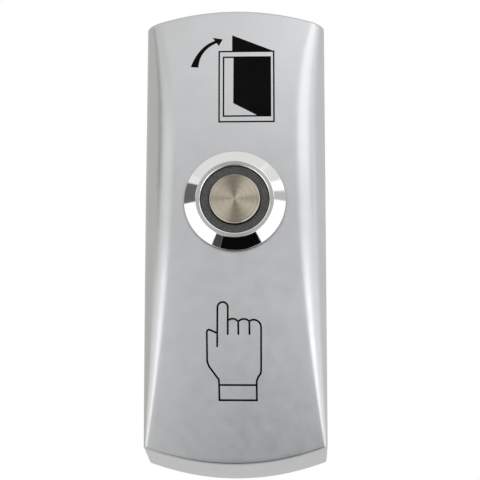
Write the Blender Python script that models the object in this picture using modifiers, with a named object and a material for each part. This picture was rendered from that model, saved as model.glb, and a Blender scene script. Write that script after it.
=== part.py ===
"""Door exit button for surface mounting: a die-cast housing with a 16 mm momentary push switch.

Metres, +Z up. The wall is the plane y = 0 and the button faces -Y, so a height over the wall is
a distance along -Y. The origin lies on the back of the base plate, in the middle of its length.
"""

import math

import bmesh
import bpy

# Housing: outline, arched front and shoulders
BODY_WIDTH = 0.032
BODY_LENGTH = 0.083
END_SAG = 0.003
FACE_HEIGHT = 0.022
END_HEIGHT = 0.017
FACE_CROWN = 0.00025
SHOULDER_WAIST = 0.0053
SHOULDER_BOTTOM = 0.0006
SHOULDER_TOP = 0.0024
SHOULDER_RISE = 0.85
WAIST_HEIGHT = 0.017
EDGE_ROUND = 0.0004
WALL = 0.002

# Clearance between neighbouring pieces
GAP = 0.0003

# Push switch: head, barrel and travel
SWITCH_HEIGHT = 0.0045
FLANGE_RADIUS = 0.009
FLANGE_RIM = 0.00035
BEVEL_RISE = 0.0012
LIP_OUTER_RADIUS = 0.0069
LIP_INNER_RADIUS = 0.0061
BARREL_RADIUS = 0.008
BARREL_CHAMFER = 0.0004
BARREL_WALL = 0.0016
REAR_SLEEVE = 0.0023
FLOOR_THICKNESS = 0.0014
BUTTON_TRAVEL = 0.0016
CAP_RADIUS = 0.00445
CAP_PROUD = 0.0003
CAP_CHAMFER = 0.00015
CAP_ROOF = 0.0016
COLLAR_STEP = 0.00075
COLLAR_THICKNESS = 0.001
RING_RECESS = 0.0008
RING_THICKNESS = 0.0018
RING_CHAMFER = 0.0001

# Seat of the switch in the housing
SPOT_DEPTH = 0.00015
SEAL_THICKNESS = 0.0008
SEAL_WIDTH = 0.00065
RELIEF_DEPTH = 0.0006
PAD_DEPTH = 0.0028
PAD_MARGIN = 0.0006
WASHER_THICKNESS = 0.0005
WASHER_RADIUS = 0.0104
WASHER_TOOTH = 0.0007
WASHER_TEETH = 18
NUT_THICKNESS = 0.0022
NUT_ACROSS_FLATS = 0.019
NUT_CHAMFER = 0.0005

# Plunger, springs and contacts
PLUNGER_RADIUS = 0.0019
PIN_RADIUS = 0.0008
PIN_HEAD_STEP = 0.0005
PIN_HEAD_THICKNESS = 0.0004
PLUNGER_SEAL_WIDTH = 0.0008
PLUNGER_SEAL_THICKNESS = 0.0005
CLIP_THICKNESS = 0.0004
CLIP_GRIP = 0.0002
CLIP_WIDTH = 0.0015
CLIP_OPENING = 0.6
SPRING_ROOM = 0.0041
SPRING_WIRE = 0.00025
SPRING_TURNS = 3.5
BLOCK_RADIUS = 0.007
BLOCK_WALL = 0.0011
BLOCK_ROOF = 0.0007
DISC_RADIUS = 0.0045
DISC_THICKNESS = 0.0003
BLADE_THICKNESS = 0.0005
BLADE_WIDTH = 0.0024
BLADE_INSET = 0.0005
BLADE_TAIL = 0.0028
FOOT_THICKNESS = 0.0004
FOOT_LENGTH = 0.0021
SOLDER_HOLE_RADIUS = 0.0005
SOLDER_HOLE_HEIGHT = 0.0011
BASE_FLANGE = 0.0012
BASE_SPIGOT = 0.0009

# Base plate, its openings and the screws that hold it to the housing
PLATE_THICKNESS = 0.0012
BOSS_INSET = 0.006
BOSS_RADIUS = 0.0032
SCREW_RADIUS = 0.0015
SCREW_LENGTH = 0.009
SCREW_HEAD_RADIUS = 0.0026
SCREW_HEAD_SINK = 0.00015
SCREW_POINT = 0.0005
RECESS_WIDTH = 0.0007
RECESS_LENGTH = 0.0028
RECESS_DEPTH = 0.0008
RIB_WIDTH = 0.0016
KEYHOLE_DROP = 0.015
KEYHOLE_CLIMB = 0.008
KEYHOLE_RADIUS = 0.0038
KEYHOLE_SLOT = 0.0021
KEYHOLE_RISE = 0.0065
WINDOW_WIDTH = 0.014
WINDOW_LENGTH = 0.012
WINDOW_BRIDGE = 0.0021
WINDOW_CORNER = 0.002

# Fineness of the curved surfaces
ROUND_STEPS = 48
SMALL_STEPS = 32
SHOULDER_STEPS = 7
FACE_STEPS = 10
LENGTH_STEPS = 24
EDGE_STEPS = 3
HOLLOW_SHARE = 0.5
MERGE = 0.00001
OVERSHOOT = 0.002

# Derived sizes of the housing
HALF_WIDTH = BODY_WIDTH / 2
HALF_LENGTH = BODY_LENGTH / 2
CORNER_HEIGHT = HALF_LENGTH - END_SAG

# Derived radii of the switch
RECESS_RADIUS = LIP_INNER_RADIUS
RING_OUTER = RECESS_RADIUS - GAP
RING_INNER = CAP_RADIUS + GAP
COLLAR_RADIUS = CAP_RADIUS + COLLAR_STEP
BORE_RADIUS = COLLAR_RADIUS + GAP
SLEEVE_RADIUS = BARREL_RADIUS - BARREL_WALL
HOLE_RADIUS = BARREL_RADIUS + GAP
RELIEF_RADIUS = BARREL_RADIUS - RELIEF_DEPTH
SEAL_INNER = RELIEF_RADIUS + GAP
SEAL_OUTER = SEAL_INNER + SEAL_WIDTH
COUNTERBORE_RADIUS = SEAL_OUTER + GAP
ROD_HOLE_RADIUS = PLUNGER_RADIUS + GAP
ROD_SEAL_OUTER = ROD_HOLE_RADIUS + PLUNGER_SEAL_WIDTH
CHAMBER_RADIUS = BLOCK_RADIUS - BLOCK_WALL
BLADE_OUTER = CHAMBER_RADIUS - BLADE_INSET
BLADE_INNER = BLADE_OUTER - BLADE_THICKNESS

# Derived heights over the wall, from the front of the switch to its terminals
SEAT = FACE_HEIGHT - SPOT_DEPTH
FLANGE_UNDER = SEAT + GAP
RIM_TOP = FLANGE_UNDER + FLANGE_RIM
LIP_TOP = RIM_TOP + BEVEL_RISE
CAP_TOP = LIP_TOP + CAP_PROUD
SEAL_TOP = FLANGE_UNDER - GAP
SEAL_BOTTOM = SEAL_TOP - SEAL_THICKNESS
COUNTERBORE_FLOOR = SEAL_BOTTOM - GAP
PAD_FACE = FACE_HEIGHT - PAD_DEPTH
WASHER_TOP = PAD_FACE - GAP
WASHER_BOTTOM = WASHER_TOP - WASHER_THICKNESS
NUT_TOP = WASHER_BOTTOM - GAP
NUT_BOTTOM = NUT_TOP - NUT_THICKNESS
RING_TOP = LIP_TOP - RING_RECESS
RING_BOTTOM = RING_TOP - RING_THICKNESS
SHELF = RING_BOTTOM - GAP
COLLAR_TOP = RING_BOTTOM - GAP
COLLAR_BOTTOM = COLLAR_TOP - COLLAR_THICKNESS
SOCKET_ROOF = CAP_TOP - CAP_ROOF
FLOOR_TOP = COLLAR_BOTTOM - SPRING_ROOM
FLOOR_BOTTOM = FLOOR_TOP - FLOOR_THICKNESS
ROD_SEAL_BOTTOM = FLOOR_TOP - PLUNGER_SEAL_THICKNESS
ROD_SEAL_POCKET = ROD_SEAL_BOTTOM - GAP
BARREL_END = FLOOR_BOTTOM - REAR_SLEEVE
CLIP_TOP = FLOOR_BOTTOM - GAP
CLIP_BOTTOM = CLIP_TOP - CLIP_THICKNESS
BLOCK_SHOULDER = BARREL_END - GAP
ROOF_TOP = min(CLIP_BOTTOM - BUTTON_TRAVEL - GAP, BLOCK_SHOULDER)
ROOF_BOTTOM = ROOF_TOP - BLOCK_ROOF
NC_FOOT_TOP = ROOF_BOTTOM - GAP
DISC_TOP = NC_FOOT_TOP - FOOT_THICKNESS - GAP
DISC_BOTTOM = DISC_TOP - DISC_THICKNESS
NO_FOOT_TOP = DISC_BOTTOM - BUTTON_TRAVEL - GAP
BASE_TOP = NO_FOOT_TOP - FOOT_THICKNESS - GAP
BASE_SHOULDER = BASE_TOP - BASE_SPIGOT
BASE_BOTTOM = BASE_SHOULDER - BASE_FLANGE
BLOCK_END = BASE_SHOULDER + GAP
TAIL_END = BASE_BOTTOM - BLADE_TAIL

# Derived places along the base plate, counted in from the ends of the housing
BOSS_FOOT = PLATE_THICKNESS + GAP
BOSS_HEIGHT = HALF_LENGTH - BOSS_INSET
UPPER_KEYHOLE = BOSS_HEIGHT - KEYHOLE_DROP
LOWER_KEYHOLE = KEYHOLE_CLIMB - BOSS_HEIGHT
WINDOW_LOW = LOWER_KEYHOLE + KEYHOLE_RISE + KEYHOLE_SLOT + WINDOW_BRIDGE
WINDOW_HEIGHT = WINDOW_LOW + WINDOW_LENGTH / 2


def clear_scene():
    """Empty the scene and its leftover data."""
    for item in list(bpy.data.objects):
        bpy.data.objects.remove(item, do_unlink=True)
    for group in list(bpy.data.collections):
        bpy.data.collections.remove(group)


def make_collection(name):
    """A new collection under the scene's own."""
    group = bpy.data.collections.new(name)
    bpy.context.scene.collection.children.link(group)
    return group


def make_material(name, colour, roughness, metallic):
    """A plain Principled BSDF material."""
    made = bpy.data.materials.new(name)
    made.use_nodes = True
    shader = made.node_tree.nodes["Principled BSDF"]
    shader.inputs["Base Color"].default_value = (*colour, 1.0)
    shader.inputs["Roughness"].default_value = roughness
    shader.inputs["Metallic"].default_value = metallic
    return made


def add_object(name, mesh, group, finish=None):
    """Link a mesh as a named object."""
    item = bpy.data.objects.new(name, mesh)
    group.objects.link(item)
    if finish is not None:
        item.data.materials.append(finish)
    return item


def mesh_from_bmesh(name, shape):
    """Write a bmesh to a new mesh with its faces turned outwards."""
    bmesh.ops.recalc_face_normals(shape, faces=shape.faces)
    mesh = bpy.data.meshes.new(name)
    shape.to_mesh(mesh)
    shape.free()
    return mesh


def shade_round(item):
    """Smooth shading with the real edges kept sharp."""
    item.data.shade_smooth()
    item.data.set_sharp_from_angle(angle=math.radians(30))


def face_wall(item, x=0.0, z=0.0, turn=0.0):
    """Stand an object's own +Z out of the wall, at a place on the wall, turned about that axis."""
    item.rotation_euler = (math.pi / 2, 0.0, 0.0)
    item.rotation_euler.rotate_axis("Z", turn)
    item.location = (x, 0.0, z)


def turned(name, outline, group, finish=None, x=0.0, z=0.0, steps=SMALL_STEPS, closed=True):
    """A turned piece: its half section (radius, height over the wall) spun about its axis."""
    mesh = bpy.data.meshes.new(name)
    points = [(radius, 0.0, height) for radius, height in outline]
    last = len(points) - 1
    edges = [(index, index + 1) for index in range(last)]
    if closed:
        edges.append((last, 0))
    mesh.from_pydata(points, edges, [])
    item = add_object(name, mesh, group, finish)
    spin = item.modifiers.new("spin", "SCREW")
    spin.axis = "Z"
    spin.steps = steps
    spin.render_steps = steps
    spin.use_merge_vertices = True
    spin.merge_threshold = MERGE
    spin.use_smooth_shade = False
    face_wall(item, x, z)
    return item


def cylinder(name, radius, low, high, group, x=0.0, z=0.0, steps=SMALL_STEPS):
    """A straight round bar between two heights over the wall."""
    shape = bmesh.new()
    bmesh.ops.create_cone(
        shape, cap_ends=True, segments=steps, radius1=radius, radius2=radius, depth=high - low
    )
    bmesh.ops.translate(shape, verts=shape.verts, vec=(0.0, 0.0, (low + high) / 2))
    item = add_object(name, mesh_from_bmesh(name, shape), group)
    face_wall(item, x, z)
    return item


def box(name, size, centre, group):
    """A block by its size and centre in the part's frame."""
    shape = bmesh.new()
    bmesh.ops.create_cube(shape, size=1.0)
    bmesh.ops.scale(shape, verts=shape.verts, vec=size)
    item = add_object(name, mesh_from_bmesh(name, shape), group)
    item.location = centre
    return item


def arc_points(radius, start, end, steps, centre=(0.0, 0.0)):
    """Points along a circular arc, both ends included."""
    angles = [start + (end - start) * index / steps for index in range(steps + 1)]
    return [
        (centre[0] + radius * math.cos(angle), centre[1] + radius * math.sin(angle))
        for angle in angles
    ]


def circle_points(radius, steps=SMALL_STEPS, centre=(0.0, 0.0)):
    """Points of a full circle, none of them twice."""
    return arc_points(radius, 0.0, 2 * math.pi * (steps - 1) / steps, steps - 1, centre)


def flat_piece(name, outlines, low, high, group, finish=None):
    """A sheet piece cut to an outline and its holes, between two heights of its own frame."""
    curve = bpy.data.curves.new(name, "CURVE")
    curve.dimensions = "2D"
    curve.fill_mode = "BOTH"
    curve.extrude = (high - low) / 2
    for outline in outlines:
        spline = curve.splines.new("POLY")
        spline.points.add(len(outline) - 1)
        for point, (across, along) in zip(spline.points, outline):
            point.co = (across, along, 0.0, 1.0)
        spline.use_cyclic_u = True
    drawn = add_object(name, curve, group)
    seen = drawn.evaluated_get(bpy.context.evaluated_depsgraph_get())
    mesh = bpy.data.meshes.new_from_object(seen)
    bpy.data.objects.remove(drawn)
    bpy.data.curves.remove(curve)
    shape = bmesh.new()
    shape.from_mesh(mesh)
    bpy.data.meshes.remove(mesh)
    bmesh.ops.remove_doubles(shape, verts=shape.verts, dist=MERGE)
    bmesh.ops.translate(shape, verts=shape.verts, vec=(0.0, 0.0, (low + high) / 2))
    return add_object(name, mesh_from_bmesh(name, shape), group, finish)


def combine(item, operand, operation):
    """Cut, join or intersect a piece with a guide solid that stays hidden."""
    operand.hide_render = True
    operand.display_type = "WIRE"
    change = item.modifiers.new(operand.name, "BOOLEAN")
    change.operation = operation
    change.solver = "EXACT"
    change.object = operand


def arch_height(z):
    """Height of the front's ridge: highest at the switch and falling in an arc to each end."""
    end = math.copysign(HALF_LENGTH, z - SWITCH_HEIGHT)
    share = (z - SWITCH_HEIGHT) / (end - SWITCH_HEIGHT)
    return FACE_HEIGHT - (FACE_HEIGHT - END_HEIGHT) * share**2


def shoulder_width(z):
    """Width of the soft shoulder, widest at the waist, which gives the front its hourglass."""
    end_width, end = (SHOULDER_TOP, CORNER_HEIGHT) if z > WAIST_HEIGHT else (
        SHOULDER_BOTTOM, -CORNER_HEIGHT)
    share = (z - WAIST_HEIGHT) / (end - WAIST_HEIGHT)
    return SHOULDER_WAIST - (SHOULDER_WAIST - end_width) * share**2


def end_height(x):
    """Reach of the body's arc-shaped ends at a distance from the middle line."""
    return HALF_LENGTH - END_SAG * (x / HALF_WIDTH) ** 2


def section_row(share, end_inset, inset, shoulder_steps, face_steps):
    """One cross section of the housing's skin, moved in by an inset, as (x, height, z) points."""
    half = HALF_WIDTH - inset
    width = max(shoulder_width(share * CORNER_HEIGHT) - inset, EDGE_ROUND / 2)
    rise = width * SHOULDER_RISE
    left = []
    for index in range(shoulder_steps + 1):
        angle = math.pi / 2 * index / shoulder_steps
        left.append((half - width * (1 - math.cos(angle)), rise * (1 - math.sin(angle))))
    edge = half - width
    face = [(edge - 2 * edge * index / face_steps, 0.0) for index in range(1, face_steps)]
    across = left + face + [(-x, drop) for x, drop in reversed(left)]
    row = []
    for x, drop in across:
        z = share * (end_height(x) - end_inset)
        height = arch_height(z) - inset - drop - FACE_CROWN * (x / HALF_WIDTH) ** 2
        row.append((x, height, z))
    return row


def lofted_body(name, rows, foot, group, finish=None):
    """A solid lofted through cross sections, closed by straight walls down to its foot."""
    shape = bmesh.new()
    upper = [[shape.verts.new((x, -height, z)) for x, height, z in row] for row in rows]
    lower = [[shape.verts.new((x, -foot, z)) for x, _, z in row] for row in rows]
    columns = len(rows[0])
    for sheet in (upper, lower):
        for first, second in zip(sheet, sheet[1:]):
            for column in range(columns - 1):
                shape.faces.new(
                    (first[column], first[column + 1], second[column + 1], second[column]))
    for end in (0, -1):
        for column in range(columns - 1):
            shape.faces.new((upper[end][column], upper[end][column + 1],
                             lower[end][column + 1], lower[end][column]))
        for row in range(len(rows) - 1):
            shape.faces.new((upper[row][end], upper[row + 1][end],
                             lower[row + 1][end], lower[row][end]))
    return add_object(name, mesh_from_bmesh(name, shape), group, finish)


def housing_rows():
    """Cross sections of the outside, with its end edges rounded."""
    rounding = []
    for index in range(EDGE_STEPS + 1):
        angle = math.pi / 2 * index / EDGE_STEPS
        rounding.append((EDGE_ROUND * (1 - math.cos(angle)), EDGE_ROUND * (1 - math.sin(angle))))
    rows = [(-1.0, end_inset, inset) for end_inset, inset in rounding]
    rows += [(2 * index / LENGTH_STEPS - 1, EDGE_ROUND, 0.0) for index in range(1, LENGTH_STEPS)]
    rows += [(1.0, end_inset, inset) for end_inset, inset in reversed(rounding)]
    return [section_row(share, end_inset, inset, SHOULDER_STEPS, FACE_STEPS)
            for share, end_inset, inset in rows]


def hollow_rows():
    """Cross sections of the inside, a wall's thickness further in."""
    steps = int(LENGTH_STEPS * HOLLOW_SHARE)
    shoulder = int(SHOULDER_STEPS * HOLLOW_SHARE)
    face = int(FACE_STEPS * HOLLOW_SHARE)
    return [section_row(2 * index / steps - 1, WALL, WALL, shoulder, face)
            for index in range(steps + 1)]


def make_front_cover(group, guides, finish):
    """The die-cast housing: arched skin, hollow, switch seat, and bosses with ribs."""
    cover = lofted_body("front_cover", housing_rows(), 0.0, group, finish)
    combine(cover, lofted_body("hollow", hollow_rows(), -OVERSHOOT, guides), "DIFFERENCE")
    pad_radius = NUT_ACROSS_FLATS / math.sqrt(3) + PAD_MARGIN
    pad = cylinder("switch_pad", pad_radius, PAD_FACE, FACE_HEIGHT - WALL / 2, guides,
                   z=SWITCH_HEIGHT, steps=ROUND_STEPS)
    combine(cover, pad, "UNION")
    for side, sign in (("upper", 1), ("lower", -1)):
        place = sign * BOSS_HEIGHT
        top = arch_height(place) - WALL / 2
        boss = cylinder(f"boss_{side}", BOSS_RADIUS, BOSS_FOOT, top, guides, z=place)
        combine(cover, boss, "UNION")
        reach = HALF_LENGTH - WALL / 2 - BOSS_HEIGHT
        foot = BOSS_FOOT + WALL
        rib_top = arch_height(sign * HALF_LENGTH) - WALL
        rib = box(f"rib_{side}", (RIB_WIDTH, rib_top - foot, reach),
                  (0.0, -(foot + rib_top) / 2, place + sign * reach / 2), guides)
        combine(cover, rib, "UNION")
        pilot = cylinder(f"pilot_{side}", SCREW_RADIUS + GAP, -OVERSHOOT,
                         SCREW_LENGTH + SCREW_RADIUS, guides, z=place, steps=SMALL_STEPS // 2)
        combine(cover, pilot, "DIFFERENCE")
    seat_cut = turned("seat_cut", [
        (0.0, FACE_HEIGHT + OVERSHOOT),
        (FLANGE_RADIUS + GAP, FACE_HEIGHT + OVERSHOOT),
        (FLANGE_RADIUS + GAP, SEAT),
        (COUNTERBORE_RADIUS, SEAT),
        (COUNTERBORE_RADIUS, COUNTERBORE_FLOOR),
        (HOLE_RADIUS, COUNTERBORE_FLOOR),
        (HOLE_RADIUS, PAD_FACE - OVERSHOOT),
        (0.0, PAD_FACE - OVERSHOOT),
    ], guides, z=SWITCH_HEIGHT, steps=ROUND_STEPS, closed=False)
    combine(cover, seat_cut, "DIFFERENCE")
    shade_round(cover)
    return cover


def keyhole_outline(height):
    """Keyhole: the screw head enters the round part, and its shank rises into the slot."""
    meet = math.asin(KEYHOLE_SLOT / KEYHOLE_RADIUS)
    start = math.pi / 2 + meet
    steps = SMALL_STEPS // 2
    head = arc_points(KEYHOLE_RADIUS, start, start + 2 * (math.pi - meet), steps, (0.0, height))
    slot = arc_points(KEYHOLE_SLOT, 0.0, math.pi, steps // 2, (0.0, height + KEYHOLE_RISE))
    return head + slot


def window_outline():
    """Rounded window for the cable."""
    outline = []
    across = WINDOW_WIDTH / 2 - WINDOW_CORNER
    along = WINDOW_LENGTH / 2 - WINDOW_CORNER
    corners = ((across, along), (-across, along), (-across, -along), (across, -along))
    for index, (x, z) in enumerate(corners):
        start = math.pi / 2 * index
        outline += arc_points(WINDOW_CORNER, start, start + math.pi / 2, 4,
                              (x, WINDOW_HEIGHT + z))
    return outline


def plate_outline():
    """Outline of the base plate, the housing's own outline moved in by the wall and the gap."""
    inset = WALL + GAP
    half = HALF_WIDTH - inset
    steps = FACE_STEPS
    top = [(half - 2 * half * index / steps) for index in range(steps + 1)]
    upper = [(x, end_height(x) - inset) for x in top]
    lower = [(-x, -(end_height(x) - inset)) for x in top]
    return upper + lower


def make_base_plate(group, guides, finish):
    """Stamped steel plate with two keyholes, a cable window and two countersunk holes."""
    outlines = [plate_outline(), window_outline()]
    outlines += [keyhole_outline(UPPER_KEYHOLE), keyhole_outline(LOWER_KEYHOLE)]
    plate = flat_piece("base_plate", outlines, 0.0, PLATE_THICKNESS, group, finish)
    face_wall(plate)
    head_depth = SCREW_HEAD_RADIUS - SCREW_RADIUS
    for side, sign in (("upper", 1), ("lower", -1)):
        sink = turned(f"countersink_{side}", [
            (0.0, PLATE_THICKNESS + OVERSHOOT),
            (SCREW_RADIUS + GAP, PLATE_THICKNESS + OVERSHOOT),
            (SCREW_RADIUS + GAP, SCREW_HEAD_SINK + head_depth),
            (SCREW_HEAD_RADIUS + GAP, SCREW_HEAD_SINK),
            (SCREW_HEAD_RADIUS + GAP, -OVERSHOOT),
            (0.0, -OVERSHOOT),
        ], guides, z=sign * BOSS_HEIGHT, closed=False)
        combine(plate, sink, "DIFFERENCE")
    return plate


def make_cover_screws(group, guides, finish):
    """Countersunk screws that hold the plate to the bosses, with a cross recess."""
    head_depth = SCREW_HEAD_RADIUS - SCREW_RADIUS
    for side, sign in (("upper", 1), ("lower", -1)):
        screw = turned(f"cover_screw_{side}", [
            (0.0, SCREW_LENGTH),
            (SCREW_RADIUS - SCREW_POINT, SCREW_LENGTH),
            (SCREW_RADIUS, SCREW_LENGTH - SCREW_POINT),
            (SCREW_RADIUS, SCREW_HEAD_SINK + head_depth),
            (SCREW_HEAD_RADIUS, SCREW_HEAD_SINK),
            (0.0, SCREW_HEAD_SINK),
        ], group, finish, z=sign * BOSS_HEIGHT, closed=False)
        for slot, size in (("a", (RECESS_LENGTH, RECESS_WIDTH)), ("b", (RECESS_WIDTH, RECESS_LENGTH))):
            recess = box(f"recess_{side}_{slot}", (size[0], 2 * RECESS_DEPTH, size[1]),
                         (0.0, -SCREW_HEAD_SINK, sign * BOSS_HEIGHT), guides)
            combine(screw, recess, "DIFFERENCE")
        shade_round(screw)


def make_switch_bezel(group, finish):
    """Turned switch body: bevelled flange, lip, threaded barrel, bore, floor and rear sleeve."""
    relief_end = COUNTERBORE_FLOOR - GAP
    bezel = turned("switch_bezel", [
        (RECESS_RADIUS, LIP_TOP),
        (LIP_OUTER_RADIUS, LIP_TOP),
        (FLANGE_RADIUS, RIM_TOP),
        (FLANGE_RADIUS, FLANGE_UNDER),
        (RELIEF_RADIUS, FLANGE_UNDER),
        (RELIEF_RADIUS, relief_end),
        (BARREL_RADIUS, relief_end - RELIEF_DEPTH),
        (BARREL_RADIUS, BARREL_END + BARREL_CHAMFER),
        (BARREL_RADIUS - BARREL_CHAMFER, BARREL_END),
        (SLEEVE_RADIUS, BARREL_END),
        (SLEEVE_RADIUS, FLOOR_BOTTOM),
        (ROD_HOLE_RADIUS, FLOOR_BOTTOM),
        (ROD_HOLE_RADIUS, ROD_SEAL_POCKET),
        (ROD_SEAL_OUTER + GAP, ROD_SEAL_POCKET),
        (ROD_SEAL_OUTER + GAP, FLOOR_TOP),
        (BORE_RADIUS, FLOOR_TOP),
        (BORE_RADIUS, SHELF),
        (RECESS_RADIUS, SHELF),
    ], group, finish, z=SWITCH_HEIGHT, steps=ROUND_STEPS)
    shade_round(bezel)
    return bezel


def make_push_cap(group, finish):
    """The round cap: flat top, thin chamfer, retaining collar and a socket for the plunger."""
    return turned("push_cap", [
        (0.0, CAP_TOP),
        (CAP_RADIUS - CAP_CHAMFER, CAP_TOP),
        (CAP_RADIUS, CAP_TOP - CAP_CHAMFER),
        (CAP_RADIUS, COLLAR_TOP),
        (COLLAR_RADIUS, COLLAR_TOP),
        (COLLAR_RADIUS, COLLAR_BOTTOM),
        (ROD_HOLE_RADIUS, COLLAR_BOTTOM),
        (ROD_HOLE_RADIUS, SOCKET_ROOF),
        (0.0, SOCKET_ROOF),
    ], group, finish, z=SWITCH_HEIGHT, steps=ROUND_STEPS, closed=False)


def turned_ring(name, inner, outer, low, high, group, finish, chamfer=0.0, steps=SMALL_STEPS):
    """A plain or chamfered ring on the switch's axis."""
    outline = [(inner, high), (outer, high), (outer, low), (inner, low)]
    if chamfer:
        outline[:2] = [(inner, high - chamfer), (inner + chamfer, high),
                       (outer - chamfer, high), (outer, high - chamfer)]
    return turned(name, outline, group, finish, z=SWITCH_HEIGHT, steps=steps)


def make_lock_washer(group, finish):
    """Toothed lock washer under the nut."""
    count = 2 * WASHER_TEETH
    outline = []
    for index in range(count):
        angle = 2 * math.pi * index / count
        radius = WASHER_RADIUS - WASHER_TOOTH * (index % 2)
        outline.append((radius * math.cos(angle), radius * math.sin(angle)))
    washer = flat_piece("lock_washer", [outline, circle_points(HOLE_RADIUS, count)],
                        WASHER_BOTTOM, WASHER_TOP, group, finish)
    face_wall(washer, z=SWITCH_HEIGHT)
    return washer


def make_fixing_nut(group, guides, finish):
    """Thin hexagon nut, its corners chamfered on both faces."""
    corner = NUT_ACROSS_FLATS / math.sqrt(3)
    nut = flat_piece("fixing_nut", [circle_points(corner, 6), circle_points(HOLE_RADIUS, ROUND_STEPS)],
                     NUT_BOTTOM, NUT_TOP, group, finish)
    face_wall(nut, z=SWITCH_HEIGHT, turn=math.pi / 6)
    trim = turned("nut_chamfer", [
        (0.0, NUT_TOP + OVERSHOOT),
        (corner - 2 * NUT_CHAMFER - OVERSHOOT, NUT_TOP + OVERSHOOT),
        (corner, NUT_TOP - NUT_CHAMFER),
        (corner, NUT_BOTTOM + NUT_CHAMFER),
        (corner - 2 * NUT_CHAMFER - OVERSHOOT, NUT_BOTTOM - OVERSHOOT),
        (0.0, NUT_BOTTOM - OVERSHOOT),
    ], guides, z=SWITCH_HEIGHT, steps=ROUND_STEPS, closed=False)
    combine(nut, trim, "INTERSECT")
    return nut


def make_plunger(group, finish):
    """Plunger rod with a groove for the clip and a headed pin for the contact disc."""
    groove_top = CLIP_TOP + GAP
    groove_bottom = CLIP_BOTTOM - GAP
    groove = PLUNGER_RADIUS - CLIP_GRIP - GAP
    head = PIN_RADIUS + PIN_HEAD_STEP
    head_top = DISC_BOTTOM - GAP
    return turned("plunger", [
        (0.0, SOCKET_ROOF - GAP),
        (PLUNGER_RADIUS, SOCKET_ROOF - GAP),
        (PLUNGER_RADIUS, groove_top),
        (groove, groove_top),
        (groove, groove_bottom),
        (PLUNGER_RADIUS, groove_bottom),
        (PLUNGER_RADIUS, DISC_TOP + GAP),
        (PIN_RADIUS, DISC_TOP + GAP),
        (PIN_RADIUS, head_top),
        (head, head_top),
        (head, head_top - PIN_HEAD_THICKNESS),
        (0.0, head_top - PIN_HEAD_THICKNESS),
    ], group, finish, z=SWITCH_HEIGHT, closed=False)


def make_retaining_clip(group, finish):
    """Open clip in the plunger's groove that keeps the cap in the switch."""
    inner = PLUNGER_RADIUS - CLIP_GRIP
    outer = inner + CLIP_WIDTH
    sweep = 2 * math.pi - CLIP_OPENING
    outline = arc_points(outer, CLIP_OPENING, sweep, SMALL_STEPS)
    outline += arc_points(inner, sweep, CLIP_OPENING, SMALL_STEPS)
    clip = flat_piece("retaining_clip", [outline], CLIP_BOTTOM, CLIP_TOP, group, finish)
    face_wall(clip, z=SWITCH_HEIGHT)
    return clip


def make_return_spring(group, finish):
    """Coil spring round the plunger, between the bezel's floor and the cap's collar."""
    radius = BORE_RADIUS - GAP - SPRING_WIRE
    low = FLOOR_TOP + GAP + SPRING_WIRE
    high = COLLAR_BOTTOM - GAP - SPRING_WIRE
    count = int(SPRING_TURNS * SMALL_STEPS / 2)
    curve = bpy.data.curves.new("return_spring", "CURVE")
    curve.dimensions = "3D"
    curve.bevel_depth = SPRING_WIRE
    curve.bevel_resolution = 2
    curve.use_fill_caps = True
    spline = curve.splines.new("POLY")
    spline.points.add(count)
    for index, point in enumerate(spline.points):
        share = index / count
        angle = 2 * math.pi * SPRING_TURNS * share
        point.co = (radius * math.cos(angle), radius * math.sin(angle), low + (high - low) * share, 1.0)
    spring = add_object("return_spring", curve, group, finish)
    face_wall(spring, z=SWITCH_HEIGHT)
    return spring


def make_contact_block(group, finish):
    """Moulded contact chamber: a sleeve up into the barrel, a roof, and walls down to the base."""
    sleeve_outer = SLEEVE_RADIUS - GAP
    sleeve_inner = sleeve_outer - BLOCK_WALL
    return turned("contact_block", [
        (sleeve_inner, FLOOR_BOTTOM - GAP),
        (sleeve_outer, FLOOR_BOTTOM - GAP),
        (sleeve_outer, BLOCK_SHOULDER),
        (BLOCK_RADIUS, BLOCK_SHOULDER),
        (BLOCK_RADIUS, BLOCK_END),
        (CHAMBER_RADIUS, BLOCK_END),
        (CHAMBER_RADIUS, ROOF_BOTTOM),
        (ROD_HOLE_RADIUS, ROOF_BOTTOM),
        (ROD_HOLE_RADIUS, ROOF_TOP),
        (sleeve_inner, ROOF_TOP),
    ], group, finish, z=SWITCH_HEIGHT, steps=ROUND_STEPS)


def make_terminal_base(group, guides, finish):
    """Moulded base that closes the chamber, with a slot for each terminal."""
    base = turned("terminal_base", [
        (0.0, BASE_TOP),
        (CHAMBER_RADIUS - GAP, BASE_TOP),
        (CHAMBER_RADIUS - GAP, BASE_SHOULDER),
        (BLOCK_RADIUS, BASE_SHOULDER),
        (BLOCK_RADIUS, BASE_BOTTOM),
        (0.0, BASE_BOTTOM),
    ], group, finish, z=SWITCH_HEIGHT, steps=ROUND_STEPS, closed=False)
    middle = (BLADE_INNER + BLADE_OUTER) / 2
    thick = BLADE_THICKNESS + 2 * GAP
    wide = BLADE_WIDTH + 2 * GAP
    deep = BASE_TOP - BASE_BOTTOM + 2 * OVERSHOOT
    height = -(BASE_TOP + BASE_BOTTOM) / 2
    for index in range(4):
        angle = math.pi / 2 * index
        across, along = middle * math.cos(angle), middle * math.sin(angle)
        size = (thick, deep, wide) if index % 2 == 0 else (wide, deep, thick)
        slot = box(f"terminal_slot_{index}", size, (across, height, SWITCH_HEIGHT + along), guides)
        combine(base, slot, "DIFFERENCE")
    return base


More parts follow.
